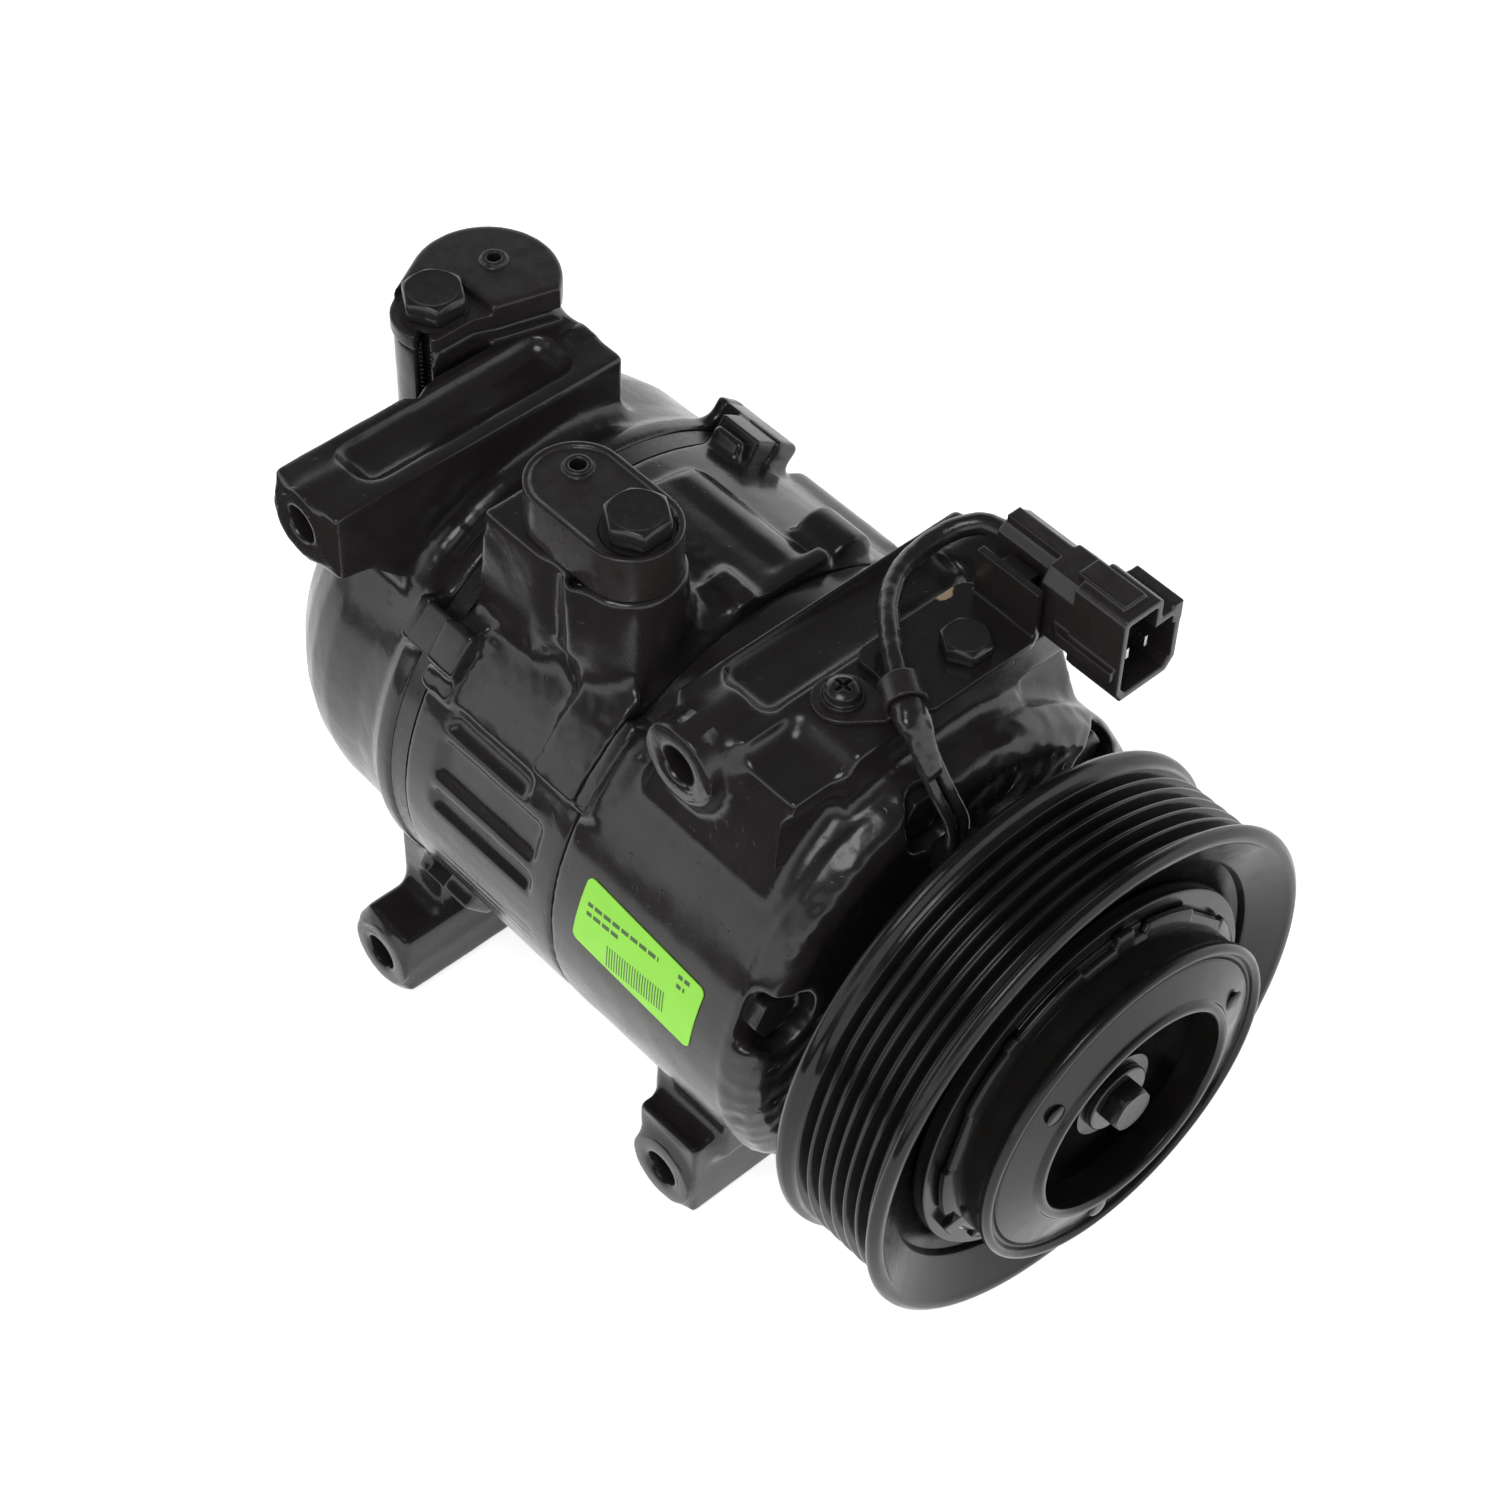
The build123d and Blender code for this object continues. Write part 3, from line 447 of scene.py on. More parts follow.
def patched_paint():
    """Black paint over the lead bracket, with one small spot that the paint missed."""
    s = Shader("black_bracket_paint", (0.02, 0.018, 0.017), 0.22)
    s.join(s.ramp(s.grain(4.0, 3.0), 0.15, 0.3), s.base, "Roughness")
    away = s.node("ShaderNodeVectorMath", operation="DISTANCE")
    s.join(s.place, away, 0)
    away.inputs[1].default_value = [c * MM for c in BARE_SPOT]
    edge = s.math("ADD", away.outputs["Value"], s.math("MULTIPLY", s.grain(1.8), 1.6 * MM))
    missed = s.ramp(edge, 1.0, 0.0, 3.2 * MM, 3.6 * MM)
    s.join(s.blend(missed, (0.016, 0.0145, 0.0137), (0.5, 0.38, 0.25)), s.base, "Base Color")
    s.relief(s.grain(0.9, 2.0), 0.012)
    s.relief(s.grain(3.0, 2.0), 0.05)
    return s.finish()


def moulded_plastic():
    """Black moulded plastic with a fine texture."""
    s = Shader("black_moulded_plastic", (0.022, 0.019, 0.018), 0.3)
    color = s.blend(s.grain(5.0), (0.0165, 0.0145, 0.0137), (0.0235, 0.0207, 0.0198))
    s.join(color, s.base, "Base Color")
    s.join(s.ramp(s.grain(3.0, 4.0), 0.22, 0.36), s.base, "Roughness")
    s.relief(s.grain(0.25, 2.0), 0.008)
    s.relief(s.grain(4.0, 1.0), 0.03)
    return s.finish()


def painted_rubber():
    """Black sheath with drips of paint along it."""
    s = Shader("black_sheath", (0.016, 0.0145, 0.014), 0.26)
    s.join(s.blend(s.grain(2.5), (0.012, 0.011, 0.0105), (0.022, 0.02, 0.019)), s.base, "Base Color")
    s.join(s.ramp(s.grain(2.2, 4.0), 0.12, 0.32), s.base, "Roughness")
    s.relief(s.grain(0.6, 2.0), 0.02)
    s.relief(s.grain(3.0, 2.0), 0.12)
    return s.finish()


def plain_rubber():
    """Matte rubber."""
    s = Shader("matte_rubber", (0.015, 0.015, 0.015), 0.7)
    s.join(s.ramp(s.grain(1.0, 3.0), 0.6, 0.82), s.base, "Roughness")
    s.relief(s.grain(0.4, 2.0), 0.02)
    return s.finish()


def bare_metal(name, color, roughness, streak):
    """Bare metal with machining streaks about the shaft."""
    s = Shader(name, color, roughness, 1.0)
    rings = turned_place(s, streak)
    dark = tuple(0.75 * c for c in color)
    s.join(s.blend(s.grain(1.2, 3.0, rings), dark, color), s.base, "Base Color")
    s.join(s.ramp(s.grain(0.8, 3.0, rings), roughness * 0.8, roughness * 1.3), s.base, "Roughness")
    s.relief(s.grain(0.35, 2.0, rings), 0.006)
    return s.finish()


def wound_copper():
    """Enamelled wire turns under resin."""
    s = Shader("enamelled_copper", (0.55, 0.2, 0.09), 0.3, 1.0)
    s.join(s.blend(s.grain(3.0), (0.35, 0.12, 0.05), (0.62, 0.25, 0.12)), s.base, "Base Color")
    s.relief(s.grain(0.8, 1.0, turned_place(s, 1.0)), 0.15)
    return s.finish()


def gasket_skin():
    """Coated gasket sheet."""
    s = Shader("gasket_skin", (0.05, 0.05, 0.055), 0.55)
    s.join(s.blend(s.grain(1.5), (0.035, 0.035, 0.04), (0.07, 0.07, 0.075)), s.base, "Base Color")
    s.relief(s.grain(0.5, 2.0), 0.01)
    return s.finish()


def painted_rim(name, color, roughness, metallic):
    """Bare sheet inside, black paint on its outer edge."""
    s = Shader(name, color, roughness, metallic)
    split = s.node("ShaderNodeSeparateXYZ")
    s.join(s.place, split, "Vector")
    square = s.math("ADD", s.math("MULTIPLY", split.outputs["X"], split.outputs["X"]),
                    s.math("MULTIPLY", split.outputs["Z"], split.outputs["Z"]))
    inside = s.math("LESS_THAN", square, (RIM_R * MM) ** 2)
    s.join(s.blend(inside, (0.018, 0.0165, 0.016), color), s.base, "Base Color")
    s.join(s.math("MULTIPLY", inside, metallic), s.base, "Metallic")
    s.join(s.ramp(s.grain(1.5), 0.25, 0.4), s.base, "Roughness")
    s.relief(s.grain(0.8, 2.0), 0.03)
    return s.finish()


def printed_film():
    """Green sticker with plain generic bars on it."""
    s = Shader("green_film", (0.25, 0.68, 0.035), 0.45)
    centre = math.radians(LABEL_DEGREES)
    tilt = math.radians(LABEL_TILT)
    split = s.node("ShaderNodeSeparateXYZ")
    s.join(s.place, split, "Vector")
    angle = s.math("ARCTAN2", split.outputs["Z"], split.outputs["X"])
    up = s.math("MULTIPLY", s.math("SUBTRACT", centre, angle), LABEL_R)
    along = s.math("SUBTRACT", LABEL_Y, s.math("MULTIPLY", split.outputs["Y"], 1 / MM))
    cosine = math.cos(tilt)
    sine = math.sin(tilt)
    u = s.math("ADD", s.math("MULTIPLY", along, cosine), s.math("MULTIPLY", up, sine))
    v = s.math("SUBTRACT", s.math("MULTIPLY", up, cosine), s.math("MULTIPLY", along, sine))

    def within(value, low, high):
        return s.math("MULTIPLY", s.math("GREATER_THAN", value, low), s.math("LESS_THAN", value, high))

    def patch(u0, u1, v0, v1):
        return s.math("MULTIPLY", within(u, u0, u1), within(v, v0, v1))

    stripes = s.math("LESS_THAN", s.math("FRACT", s.math("MULTIPLY", u, STRIPES_PER_MM), 0.0), 0.45)
    ink = s.math("MULTIPLY", patch(-9.0, 9.5, -7.2, -1.4), stripes)
    rows = ((-16.0, 6.0, 4.6, 5.7), (-16.0, -6.0, 2.2, 3.3), (12.0, 15.5, 4.6, 5.7), (12.0, 14.5, 2.2, 3.3))
    for u0, u1, v0, v1 in rows:
        dashes = s.math("LESS_THAN", s.math("FRACT", s.math("MULTIPLY", u, DASHES_PER_MM), 0.0), 0.82)
        ink = s.math("MAXIMUM", ink, s.math("MULTIPLY", patch(u0, u1, v0, v1), dashes))
    mixed = s.node("ShaderNodeMix", data_type="RGBA")
    s.join(s.math("MULTIPLY", ink, 0.88), mixed, "Factor")
    s.join(s.blend(s.grain(6.0), (0.235, 0.65, 0.032), (0.28, 0.73, 0.042)), mixed, "A")
    mixed.inputs["B"].default_value = (0.02, 0.035, 0.012, 1)
    s.join(mixed.outputs["Result"], s.base, "Base Color")
    s.join(s.ramp(s.grain(8.0, 3.0), 0.38, 0.5), s.base, "Roughness")
    s.relief(s.grain(7.0, 2.0), 0.05)
    return s.finish()


finishes = {
    "black_casting": cast_paint(),
    "black_steel": turned_paint(),
    "bolt_steel": bolt_paint(),
    "black_plastic": moulded_plastic(),
    "black_rubber": plain_rubber(),
    "machined_aluminium": bare_metal("machined_aluminium", (0.72, 0.73, 0.75), 0.3, 3.0),
    "bare_steel": bare_metal("bare_steel", (0.45, 0.45, 0.46), 0.32, 3.0),
    "hard_steel": bare_metal("ground_steel", (0.55, 0.55, 0.57), 0.18, 6.0),
    "bronze": bare_metal("bronze", (0.55, 0.38, 0.16), 0.3, 3.0),
    "tin": bare_metal("tinned_brass", (0.7, 0.69, 0.66), 0.25, 3.0),
    "copper": wound_copper(),
    "gasket": gasket_skin(),
    "green_label": printed_film(),
}
finishes["cap_plastic"] = finishes["black_plastic"]
sheath_finish = painted_rubber()
recess_finish = bolt_paint("black_recess_paint", 0.2)

steel_edge = painted_rim("steel_sheet", (0.45, 0.45, 0.46), 0.3, 1.0)
gasket_edge = painted_rim("gasket_sheet", (0.05, 0.05, 0.055), 0.5, 0.0)
rims = {"suction_reeds": steel_edge, "valve_plate": steel_edge, "discharge_reeds": steel_edge,
        "block_gasket": gasket_edge, "head_gasket": gasket_edge, "housing_o_ring": gasket_edge}

for node_name, node in nodes.items():
    node.data.materials.clear()
    node.data.materials.append(rims.get(node_name, finishes[slot_of[node_name]]))


# --- Castings -----------------------------------------------------------------------

def even(amount):
    """The same amount everywhere."""
    return lambda places: np.full(len(places), amount, np.float32)


def cast_part(name, source, fillet, cutters, lumps, lump_size=2.2, faces=170000):
    """Casting with fillets in its inner corners, crisp machined holes and soft outer edges.

    The skin is swollen, rebuilt and shrunk again, which fills its inner corners and cuts nothing off.
    """
    obj = copy_of(name, source)
    revoxel(obj, 0.75)
    swell(obj, fillet)
    revoxel(obj, 0.75)
    swell(obj, lambda places: -fillet(places))
    revoxel(obj, 0.55)
    smooth(obj, 3)
    for cutter in cutters:
        carve(obj, cutter)
    revoxel(obj, 0.45)
    smooth(obj, 3)
    roughen(obj, even(0.10), 7.0)
    roughen(obj, lumps, lump_size)
    thin_out(obj, faces)
    polish(obj)
    obj.name = name
    return stand_in(obj, source)


def along_x(centre, radius, x0, x1):
    """Cutter along X through a (y, z) centre."""
    return rod((x0, *centre), (x1, *centre), radius)


def prism(outline, z0, z1):
    """Closed prism along Z from an (x, y) outline."""
    bm = bmesh.new()
    face = bm.faces.new([bm.verts.new((x * MM, y * MM, z0 * MM)) for x, y in outline])
    grown = bmesh.ops.extrude_face_region(bm, geom=[face])
    top = [part for part in grown["geom"] if isinstance(part, bmesh.types.BMVert)]
    bmesh.ops.translate(bm, vec=(0, 0, (z1 - z0) * MM), verts=top)
    bmesh.ops.recalc_face_normals(bm, faces=bm.faces)
    mesh = bpy.data.meshes.new("prism")
    bm.to_mesh(mesh)
    bm.free()
    return link("prism", mesh)


def front_lumps(places):
    """Thick runny paint round the front edge of the front casting, thin elsewhere."""
    edge = np.clip((FRONT_EDGE_Y - places[:, 1]) / FRONT_EDGE_WIDTH, 0, 1)
    return (0.02 + 0.2 * edge).astype(np.float32)


def front_fillet(places):
    """Fillet radius over the front casting: small at its front edge."""
    return (3.0 - 1.8 * np.clip((36.0 - places[:, 1]) / 6.0, 0, 1)).astype(np.float32)


def front_housing():
    """Front casting."""
    cutters = [along_x(FRONT_HOLE, HOLE_R, -60, 60), along_x(FRONT_EAR_HOLE, HOLE_R, -60, 60)]
    return cast_part("front_casting", "front_housing", front_fillet, cutters, front_lumps, 3.2)


def block_fillet(places):
    """Fillet radius over the block: large round the tower, small between the ribs and lugs."""
    angle = np.degrees(np.arctan2(places[:, 2], places[:, 0]))
    radius = np.hypot(places[:, 0], places[:, 2])
    near_tower = np.clip((angle - 84.0) / 8.0, 0, 1) * np.clip((139.0 - angle) / 8.0, 0, 1)
    outside = np.clip((radius - 54.0) / 3.0, 0, 1)
    return (0.9 + 2.6 * near_tower * outside).astype(np.float32)


def tower_lumps(places):
    """Rough paint round the tower's foot."""
    radius = np.hypot(places[:, 0], places[:, 2])
    near = np.exp(-((radius - TOWER_FOOT_R) / 2.5) ** 2) * (places[:, 2] > 25) * (places[:, 0] < 0)
    return (0.03 + 0.16 * near).astype(np.float32)


def cylinder_block():
    """Middle casting."""
    x, y = PIN_BOSS
    cutters = [rod((x, y, 73.6), (x, y, 79), 1.9, 32)]
    return cast_part("block_casting", "cylinder_block", block_fillet, cutters, tower_lumps)


def rear_head():
    """Rear casting."""
    x, y = REAR_CAP_BOLT
    turn = math.radians(WINDOW_DEGREES)
    out = Vector((math.cos(turn), math.sin(turn)))
    side = Vector((-out.y, out.x)) * 1.7
    centre = Vector(REAR_CAP_BOLT)
    window = [centre + side, centre + out * 20 + side, centre + out * 20 - side, centre - side]
    front_side = [(-30, 182.4), (-2, 182.4), (3.3, 180.2), (17, 176.2), (30, 172), (30, 150),
                  (-30, 150)]
    gap = [(-30, 182.4), (-2, 182.4), (3.3, 180.2), (-30, 180.1)]
    cutters = [along_x(REAR_HOLE, HOLE_R, -70, 40), along_x(REAR_EAR_HOLE, HOLE_R, -80, 40),
               prism(window, 57, 76.2), rod((x, y, 56.8), (x, y, 76.4), 4.4),
               prism(front_side, 70.05, 80), prism(gap, 60, 71)]
    return cast_part("head_casting", "rear_head", even(3.0), cutters, even(0.04))


LUGS = [  # outer radius, and the angles of its sides
    (65.3, 133.5, 142.5), (66.8, 46.3, 52.7), (64.8, -46.5, -37.5), (64.8, -142.5, -133.5)]


def sector(r0, r1, y0, y1, start, end):
    """Closed piece of a ring about the shaft between two angles."""
    bm = bmesh.new()
    turns = [math.radians(start + (end - start) * k / 8) for k in range(9)]
    outline = [(r1, t) for t in turns] + [(r0, t) for t in reversed(turns)]
    face = bm.faces.new([bm.verts.new((r * MM * math.cos(t), y0 * MM, r * MM * math.sin(t)))
                         for r, t in outline])
    grown = bmesh.ops.extrude_face_region(bm, geom=[face])
    far = [part for part in grown["geom"] if isinstance(part, bmesh.types.BMVert)]
    bmesh.ops.translate(bm, vec=(0, (y1 - y0) * MM, 0), verts=far)
    bmesh.ops.recalc_face_normals(bm, faces=bm.faces)
    mesh = bpy.data.meshes.new("sector")
    bm.to_mesh(mesh)
    bm.free()
    return link("sector", mesh)


def gasket_tabs():
    """Painted tabs of the plate stack between the flange lugs, and a web beside the right-hand ones."""
    tabs = [sector(59.0, outer, 138.6, 146.4, start, end) for outer, start, end in LUGS]
    web = sector(59.0, 66.4, 129.0, 141.0, 51.5, 58.5)
    obj = joined("plate_tabs", *tabs, web)
    revoxel(obj, 0.4)
    smooth(obj, 4)
    polish(obj)
    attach(obj, "casing")
    obj.data.materials.append(finishes["black_casting"])


BOSSES = [  # bore centre, ring radius, left face, right face
    (FRONT_HOLE, 10.0, -44.5, 46.0), (FRONT_EAR_HOLE, 9.6, -53.7, 27.5),
    (REAR_HOLE, 9.5, -60.0, 21.0), (REAR_EAR_HOLE, 9.4, -63.0, 25.0)]


def worn_radius(degrees, radius, face, k):
    """Uneven edge of a machined ring."""
    return radius - 0.12 + 0.22 * noise.noise(Vector((degrees / 21.0, face, k)))


def boss_faces():
    """Machined rings at both ends of the four mounting bores."""
    for k, (centre, radius, left, right) in enumerate(BOSSES):
        rings = []
        for face, way in ((left, 1), (right, -1)):
            def outline(degrees):
                worn = worn_radius(degrees, radius, face, k)
                if degrees > 300:
                    again = worn_radius(degrees - 360, radius, face, k)
                    worn += (again - worn) * (degrees - 300) / 60
                return [(HOLE_R, 7.0), (HOLE_R, 0.6), (5.1, 0.1), (6.5, 0.05), (6.8, 0.4), (7.1, 0.4),
                        (7.4, 0.05), (worn - 0.7, 0.1), (worn - 0.15, 0.35), (worn, 0.9), (worn, 7.0)]

            ring = lathe("ring", outline, 180)
            ring.data.transform(Matrix.Translation((face * MM, centre[0] * MM, centre[1] * MM)) @
                                Matrix.Rotation(-math.pi / 2 * way, 4, "Z"))
            rings.append(ring)
        piece = joined("boss_faces_" + str(k), *rings)
        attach(piece, "casing")
        piece.data.materials.append(finishes["black_casting"])


# --- Clutch -------------------------------------------------------------------------

RIVET_RING_R = 31.5
RIVET_ANGLES = (140.5, 20.5, -99.5)
RIB_PITCH = 3.56
TIP_R = 60.7
ROOT_R = 57.8


def pulley():
    """Ribbed pulley with rolled rims."""
    rear = [(47.5, 16.2), (60.2, 16.2), (61.8, 15.6), (62.6, 14.4), (62.4, 13.0), (61.0, 12.0)]
    ribs = []
    for k in range(7):
        y = RIB_PITCH * (3 - k)
        ribs += [(TIP_R, y + 0.36), (TIP_R, y - 0.36)]
        if k < 6:
            middle = y - RIB_PITCH / 2
            ribs += [(ROOT_R, middle + 0.42), (ROOT_R, middle - 0.42)]
    front = [(61.0, -11.4), (62.5, -11.9), (63.2, -12.9), (62.9, -14.0), (61.6, -14.9), (60.2, -14.8),
             (59.2, -14.0), (51.8, -9.6), (51.3, -8.0)]
    inner = [(23.6, -8.0), (23.6, -6.5), (25, -6.5), (25, 13.5), (26.2, 13.5), (26.2, 14.7), (25, 14.7),
             (25, 16), (29.5, 16), (29.5, -4), (47.5, -4)]
    outline = rounded(rear + ribs + front, 0.45, 3) + [Vector(p) for p in inner]
    obj = lathe("pulley_turned", outline, 288)
    return stand_in(obj, "pulley")


def foot_radius(degrees):
    """Edge of the hub's foot: three flats, each followed by two notches."""
    turn = (degrees - 32.0) % 120.0
    if turn < 22.0:
        return 41.9 / math.cos(math.radians(turn - 11.0)) * 0.985
    steps = ((43.0, 49.5, 40.9), (49.5, 55.8, 44.3), (55.8, 69.5, 41.4), (94.0, 98.5, 43.9))
    for start, end, radius in steps:
        if start < turn < end:
            return radius
    return 42.9


def hub_shell():
    """Dished cover: rolled outer bead, cone, inner lip and cup wall, on a thin notched foot."""
    crown = [(25.6, -19.0), (25.6, -26.3), (26.3, -27.1), (27.5, -27.1), (28.1, -26.5), (28.5, -25.8),
             (37.0, -23.75), (37.5, -23.0), (38.3, -22.95), (38.6, -24.0), (39.3, -24.7), (40.2, -24.6),
             (40.9, -23.7), (40.9, -22.4), (39.9, -21.2)]
    inside = [(38.2, -12.6), (38.2, -20.6), (37.9, -22.0), (28.6, -24.4), (27.5, -24.2), (27.3, -19.0)]
    ring = lathe("hub_crown", rounded(crown + [(39.9, -12.6)] + inside, 0.4), 256)

    def foot(degrees):
        edge = foot_radius(degrees)
        return [(38.2, -12.6), (38.2, -15.4), (40.2, -15.0), (edge - 0.25, -14.3), (edge, -14.05),
                (edge, -12.85), (edge - 0.25, -12.6)]

    return stand_in(joined("hub_dish", ring, lathe("hub_foot", foot, 720)), "hub_shell")


def hub_rivets():
    """Flat rivet heads on the cone."""
    heads = []
    for degrees in RIVET_ANGLES:
        outline = [(0, -23.0), (1.9, -23.0), (1.9, -25.2), (2.5, -25.2), (2.5, -25.45), (2.2, -25.75),
                   (1.1, -25.85), (0, -25.85)]
        head = lathe("rivet", outline, 40)
        at = math.radians(degrees)
        head.data.transform(Matrix.Translation((RIVET_RING_R * MM * math.cos(at), 0,
                                                RIVET_RING_R * MM * math.sin(at))))
        heads.append(head)
    return stand_in(joined("hub_rivet_heads", *heads), "hub_rivets")


def armature():
    """Friction plate."""
    outline = rounded([(26.5, -12.0), (26.5, -8.5), (46.3, -8.5), (46.3, -12.0)], 0.5)
    return stand_in(lathe("armature_disc", outline), "armature_plate")


def hexagon_radius(across, degrees):
    """Radius of a hexagon's side at an angle, with its corners just broken."""
    turn = (degrees % 60.0) - 30.0
    return min(across / 2 / math.cos(math.radians(turn)), across * 0.5725)


def head_outline(across, low, high, degrees):
    """One side of a hexagon head with a turned top, a dish and a washer face."""
    side = hexagon_radius(across, degrees)
    flat = across / 2
    drop = (side - 0.96 * flat) * 0.6
    return [(side - 0.3, low), (side, low + 0.3), (side, high - drop - 0.15), (side - 0.2, high - drop),
            (0.95 * flat, high), (0.9 * flat, high - 0.08), (0.82 * flat, high - 0.1), (0, high - 0.1)]


def thread_outline(radius, pitch, low, high, degrees):
    """One side of a threaded shank, from its tip up."""
    steps = int((high - low) / pitch * 8)
    points = [(0, low), (radius - 0.8, low)]
    for k in range(steps + 1):
        height = low + (high - low) * k / steps
        wave = abs(((height / pitch - degrees / 360.0) % 1.0) * 2.0 - 1.0)
        ease = min(1.0, (height - low) / 1.2)
        points.append((radius - pitch * 0.55 * wave - 0.5 * (1 - ease), height))
    return points


def bolt(name, x, y, across, head, shank, radius, pitch):
    """Hexagon bolt that stands on Z."""
    def outline(degrees):
        thread = thread_outline(radius, pitch, shank, head[0], degrees)
        return thread + head_outline(across, *head, degrees)

    return upright(lathe(name, outline, 96), x, y)


def cap_bolts():
    """Both port cap bolts."""
    front = bolt("front", *FRONT_CAP_BOLT, 13.0, (88.3, 93.6), 59.3, 3.95, 1.25)
    rear = bolt("rear", *REAR_CAP_BOLT, 13.0, (78.8, 84.1), 52.8, 3.95, 1.25)
    return stand_in(joined("port_cap_bolts", front, rear), "cap_bolts")


def bracket_bolt():
    """Bolt of the lead bracket."""
    obj = bolt("lead_bracket_bolt", *BRACKET_BOLT, 10.0, (72.0, 76.0), 54.0, 3.0, 1.0)
    return stand_in(obj, "bracket_bolt")


def centre_bolt():
    """Bolt in the middle of the hub, along the shaft."""
    def outline(degrees):
        side = head_outline(10.0, 22.2, 26.4, degrees)
        return [(r, -y) for r, y in [(0, 8.0), (2.7, 8.0), (3.0, 8.4), (3.0, 22.2)] + side]

    return stand_in(lathe("hub_centre_bolt", outline, 96), "hub_bolt", material=recess_finish)


def hub_washer():
    """Thick washer under the centre bolt."""
    outline = rounded([(3.1, -22.2), (3.1, -20.5), (8.2, -20.5), (8.2, -21.9), (7.9, -22.2)], 0.25)
    return stand_in(lathe("hub_centre_washer", outline, 96), "hub_washer")


# --- Lead ---------------------------------------------------------------------------

LEAD_ROUTE = [
    (38.9, 57.0, 79.0), (38.9, 62.8, 79.0), (34.6, 67.4, 77.4), (28.0, 69.6, 75.4), (21.0, 69.0, 74.8),
    (14.2, 66.4, 75.0), (8.2, 61.8, 75.6), (3.2, 56.0, 76.0), (-1.0, 50.4, 76.0), (-4.62, 44.8, 75.49)]
WIRE_ROUTES = [
    [(x - 9.0, 37.2, 74.2), (x - 10.2, 34.6, 71.6), (x - 10.8, 31.4, 67.4), (x - 10.6, 28.0, 62.8),
     (x - 9.8, 25.2, 58.0), (x - 8.6, 23.4, 53.0), (x - 8.6, 23.4, 47.5)] for x in (0.0, 3.3)]
CLIP_AT = Vector((-5.7, 42.8, 75.2))
CLIP_ALONG = Vector((-5.2, -9.6, -1.4)).normalized()


def route_curve(name, route, radius=0.0):
    """NURBS line along a route, with a round section if a radius is given."""
    curve = bpy.data.curves.new(name, "CURVE")
    curve.dimensions = "3D"
    curve.bevel_depth = radius * MM
    curve.bevel_resolution = 7
    curve.resolution_u = 24
    curve.use_fill_caps = radius > 0
    spline = curve.splines.new("NURBS")
    spline.points.add(len(route) - 1)
    for point, place in zip(spline.points, route):
        point.co = (*[c * MM for c in place], 1)
    spline.order_u = 3
    spline.use_endpoint_u = True
    return link(name, curve)


def cable(name, route, radius):
    """Round cable with runs of paint on it."""
    line = route_curve(name, route, radius)
    mesh = bpy.data.meshes.new_from_object(line.evaluated_get(bpy.context.evaluated_depsgraph_get()))
    bpy.data.objects.remove(line)
    obj = link(name, mesh)
    roughen(obj, even(0.16), 3.2)
    polish(obj)
    return obj


def strap(name, route, sections):
    """Flattened sleeve along a route from (share of the way, half width, half thickness) sections."""
    line = route_curve(name + "_line", route)
    mesh = bpy.data.meshes.new_from_object(line.evaluated_get(bpy.context.evaluated_depsgraph_get()))
    places = [vertex.co.copy() for vertex in mesh.vertices]
    bpy.data.objects.remove(line)
    stations = [row[0] for row in sections]
    bm = bmesh.new()
    rings = []
    for k, place in enumerate(places):
        share = k / (len(places) - 1)
        ahead = (places[min(k + 1, len(places) - 1)] - places[max(k - 1, 0)]).normalized()
        across = ahead.cross(Vector((0.35, -0.75, 0.6))).normalized()
        out = across.cross(ahead)
        wide = np.interp(share, stations, [row[1] for row in sections])
        thick = np.interp(share, stations, [row[2] for row in sections])
        ring = []
        for j in range(32):
            at = 2 * math.pi * j / 32
            sideways = across * math.cos(at) * wide * MM
            ring.append(bm.verts.new(place + sideways + out * math.sin(at) * thick * MM))
        rings.append(ring)
    for here, there in zip(rings, rings[1:]):
        for j in range(32):
            bm.faces.new((here[j], here[(j + 1) % 32], there[(j + 1) % 32], there[j]))
    bm.faces.new(rings[0])
    bm.faces.new(rings[-1])
    bmesh.ops.recalc_face_normals(bm, faces=bm.faces)
    mesh = bpy.data.meshes.new(name)
    bm.to_mesh(mesh)
    bm.free()
    obj = link(name, mesh)
    roughen(obj, even(0.35), 3.0)
    polish(obj)
    return obj


def lead_piece(obj):
    """Give a piece of the lead its body and finish."""
    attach(obj, "casing")
    obj.data.materials.clear()
    obj.data.materials.append(sheath_finish)


def coil_lead():
    """Sheath, crimped sleeve at the clip and two wires."""
    stand_in(cable("lead_sheath", LEAD_ROUTE, 2.4), "coil_lead", material=sheath_finish)
    for k, route in enumerate(WIRE_ROUTES):
        lead_piece(cable("lead_wire_" + str(k), route, 1.35))
    start = CLIP_AT + CLIP_ALONG * 1.0
    sleeve_route = [tuple(start), tuple(CLIP_AT + CLIP_ALONG * 5.5), (-8.4, 35.0, 72.4), (-9.1, 31.6, 67.9),
                    (-8.9, 29.4, 64.6)]
    lead_piece(strap("lead_sleeve", sleeve_route,
                     [(0.0, 3.0, 3.0), (0.1, 3.7, 3.5), (0.35, 4.6, 3.0), (0.6, 3.9, 2.4), (0.85, 3.5, 2.0),
                      (0.95, 3.3, 1.9), (1.0, 2.9, 1.5)]))


def box_outline(x0, x1, y0, y1):
    """Corners of a rectangle."""
    return [(x0, y0), (x1, y0), (x1, y1), (x0, y1)]


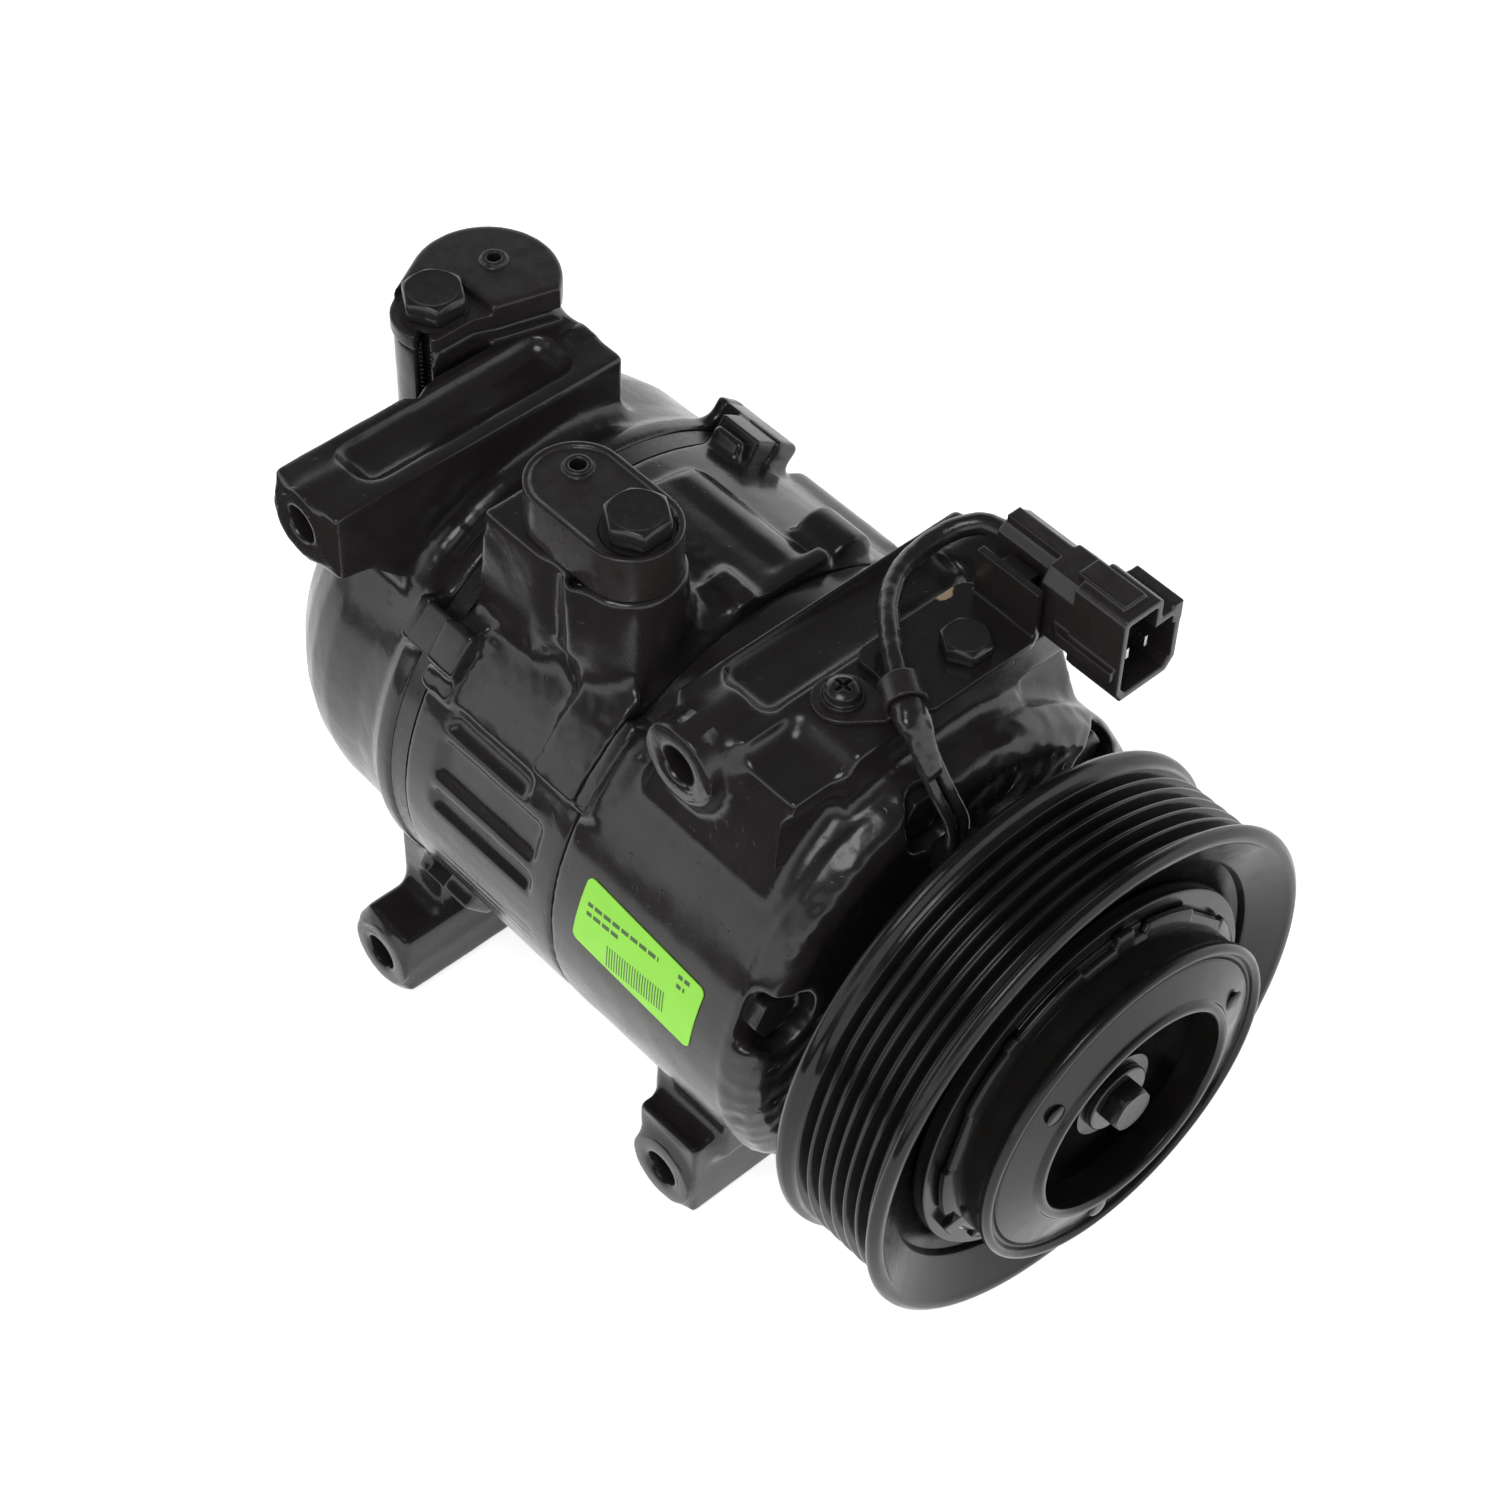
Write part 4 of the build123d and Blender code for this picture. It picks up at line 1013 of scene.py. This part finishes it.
def connector():
    """Connector housing with a rail along its tail, a latch, a side shelf and a fin at its mouth."""
    rail = prism(box_outline(36.0, 39.6, 39.0, 56.4), 84.5, 88.0)
    latch = prism(box_outline(32.6, 38.6, 20.5, 33.5), 89.0, 91.3)
    shelf = prism([(28.4, 18.6), (31.0, 18.6), (31.0, 37.5), (28.4, 33.5)], 73.4, 76.2)
    fin = prism(box_outline(45.2, 48.2, 18.0, 31.0), 80.0, 85.0)
    housing = copy_of("connector_copy", "connector_housing")
    obj = joined("connector_soft", housing, rail, latch, shelf, fin)
    revoxel(obj, 0.3)
    smooth(obj, 4)
    thin_out(obj, 40000)
    polish(obj)
    stand_in(obj, "connector_housing")


# --- Floor, light and camera --------------------------------------------------------

FLOOR_SIZE = 6.0
CAMERA_PLACE = (-0.34543, -0.26923, 0.58050)
CAMERA_FORWARD = (0.45598, 0.47699, -0.75138)
CAMERA_LEVEL = math.radians(-43.71)
CAMERA_ROLL = math.radians(2.09)
SKY = ((0.34, 0.95), (0.48, 0.4), (0.62, 0.1))


def glow(name, color, strength):
    """Plain material that gives off light."""
    material = bpy.data.materials.new(name)
    material.use_nodes = True
    tree = material.node_tree
    tree.nodes.clear()
    emission = tree.nodes.new("ShaderNodeEmission")
    emission.inputs["Color"].default_value = (*color, 1)
    emission.inputs["Strength"].default_value = strength
    diffuse = tree.nodes.new("ShaderNodeBsdfDiffuse")
    diffuse.inputs["Color"].default_value = (*[0.9 * c for c in color], 1)
    add = tree.nodes.new("ShaderNodeAddShader")
    output = tree.nodes.new("ShaderNodeOutputMaterial")
    tree.links.new(emission.outputs[0], add.inputs[0])
    tree.links.new(diffuse.outputs[0], add.inputs[1])
    tree.links.new(add.outputs[0], output.inputs["Surface"])
    return material


def floor():
    """Pale floor under the lower ears."""
    bm = bmesh.new()
    bmesh.ops.create_grid(bm, x_segments=1, y_segments=1, size=FLOOR_SIZE,
                          matrix=Matrix.Translation((0, 0.09, cad_low.z - 0.0002)))
    mesh = bpy.data.meshes.new("floor")
    bm.to_mesh(mesh)
    bm.free()
    obj = link("floor", mesh)
    mesh.materials.append(glow("pale_floor", (1.0, 1.0, 1.0), 0.78))


def softbox(name, place, target, size, power):
    """Soft rectangular lamp."""
    light = bpy.data.lights.new(name, "AREA")
    light.shape = "RECTANGLE"
    light.size, light.size_y = size
    light.energy = power
    obj = bpy.data.objects.new(name, light)
    bpy.context.scene.collection.objects.link(obj)
    obj.location = place
    obj.rotation_mode = "QUATERNION"
    obj.rotation_quaternion = (Vector(target) - Vector(place)).to_track_quat("-Z", "Y")


def studio_air():
    """World: bright low round the horizon, dim overhead."""
    world = bpy.data.worlds.new("studio")
    bpy.context.scene.world = world
    world.use_nodes = True
    tree = world.node_tree
    background = tree.nodes["Background"]
    coordinates = tree.nodes.new("ShaderNodeTexCoord")
    split = tree.nodes.new("ShaderNodeSeparateXYZ")
    ramp = tree.nodes.new("ShaderNodeValToRGB")
    tree.links.new(coordinates.outputs["Generated"], split.inputs[0])
    tree.links.new(split.outputs["Z"], ramp.inputs["Fac"])
    tree.links.new(ramp.outputs["Color"], background.inputs["Color"])
    elements = ramp.color_ramp.elements
    background.inputs["Strength"].default_value = 1.5
    elements[0].position = 0.0
    elements[0].color = (1, 1, 1, 1)
    elements[1].position = 1.0
    elements[1].color = (0.07, 0.068, 0.066, 1)
    for position, value in SKY:
        element = elements.new(position)
        element.color = (value, value, value, 1)


def camera():
    """Camera above the front left."""
    forward = Vector(CAMERA_FORWARD).normalized()
    level = Vector((math.cos(CAMERA_LEVEL), math.sin(CAMERA_LEVEL), 0))
    up = level.cross(forward)
    right = math.cos(CAMERA_ROLL) * level + math.sin(CAMERA_ROLL) * up
    top = -math.sin(CAMERA_ROLL) * level + math.cos(CAMERA_ROLL) * up
    data = bpy.data.cameras.new("camera")
    data.sensor_width = 36.0
    data.lens = 82.4
    obj = bpy.data.objects.new("camera", data)
    bpy.context.scene.collection.objects.link(obj)
    obj.matrix_world = Matrix((
        (right.x, top.x, -forward.x, CAMERA_PLACE[0]), (right.y, top.y, -forward.y, CAMERA_PLACE[1]),
        (right.z, top.z, -forward.z, CAMERA_PLACE[2]), (0, 0, 0, 1)))
    bpy.context.scene.camera = obj


def reflection_shade_card(low, high):
    """Black card beside the object that only its reflections see: painted shade in the reflections of the
    surfaces that face down to the left.
    """
    bm = bmesh.new()
    corners = ((low[0], low[1]), (high[0], low[1]), (high[0], high[1]), (low[0], high[1]))
    bm.faces.new([bm.verts.new((x * MM, y * MM, low[2] * MM)) for x, y in corners])
    mesh = bpy.data.meshes.new("reflection_shade_card")
    bm.to_mesh(mesh)
    bm.free()
    obj = link("reflection_shade_card", mesh)
    obj.visible_camera = False
    obj.visible_shadow = False
    obj.visible_diffuse = False
    # near-black sheet: painted shade that only glossy reflections pick up
    mesh.materials.append(glow("painted_shade_black", (0.02, 0.02, 0.02), 0.0))


camera()
floor()
studio_air()
# black card: painted shade in the reflections on the object's left side
reflection_shade_card((-600, -300, 22), (-68, 420, 22))
softbox("key", (-0.5, -0.1, 1.1), (0, 0.09, 0), (0.5, 0.5), 4.0)
bpy.context.scene.view_settings.view_transform = "Standard"

front_housing()
cylinder_block()
rear_head()
pulley()
boss_faces()
gasket_tabs()
hub_shell()
hub_rivets()
armature()
centre_bolt()
hub_washer()
cap_bolts()
bracket_bolt()
coil_lead()
softened("front_cap_soft", "front_port_cap", 0.3, 3, 30000)
softened("rear_cap_soft", "rear_port_cap", 0.3, 3, 30000, dome=(40, 78.9, *REAR_NIPPLE, 4.2))
connector()
softened("bracket_soft", "lead_bracket", 0.3, 3, 20000, patched_paint())
softened("clip_soft", "lead_clip", 0.22, 2, 15000)
softened("clip_screw_soft", "clip_screw", 0.18, 2, 12000)
softened("through_bolts_soft", "through_bolts", 0.35, 2, 40000)
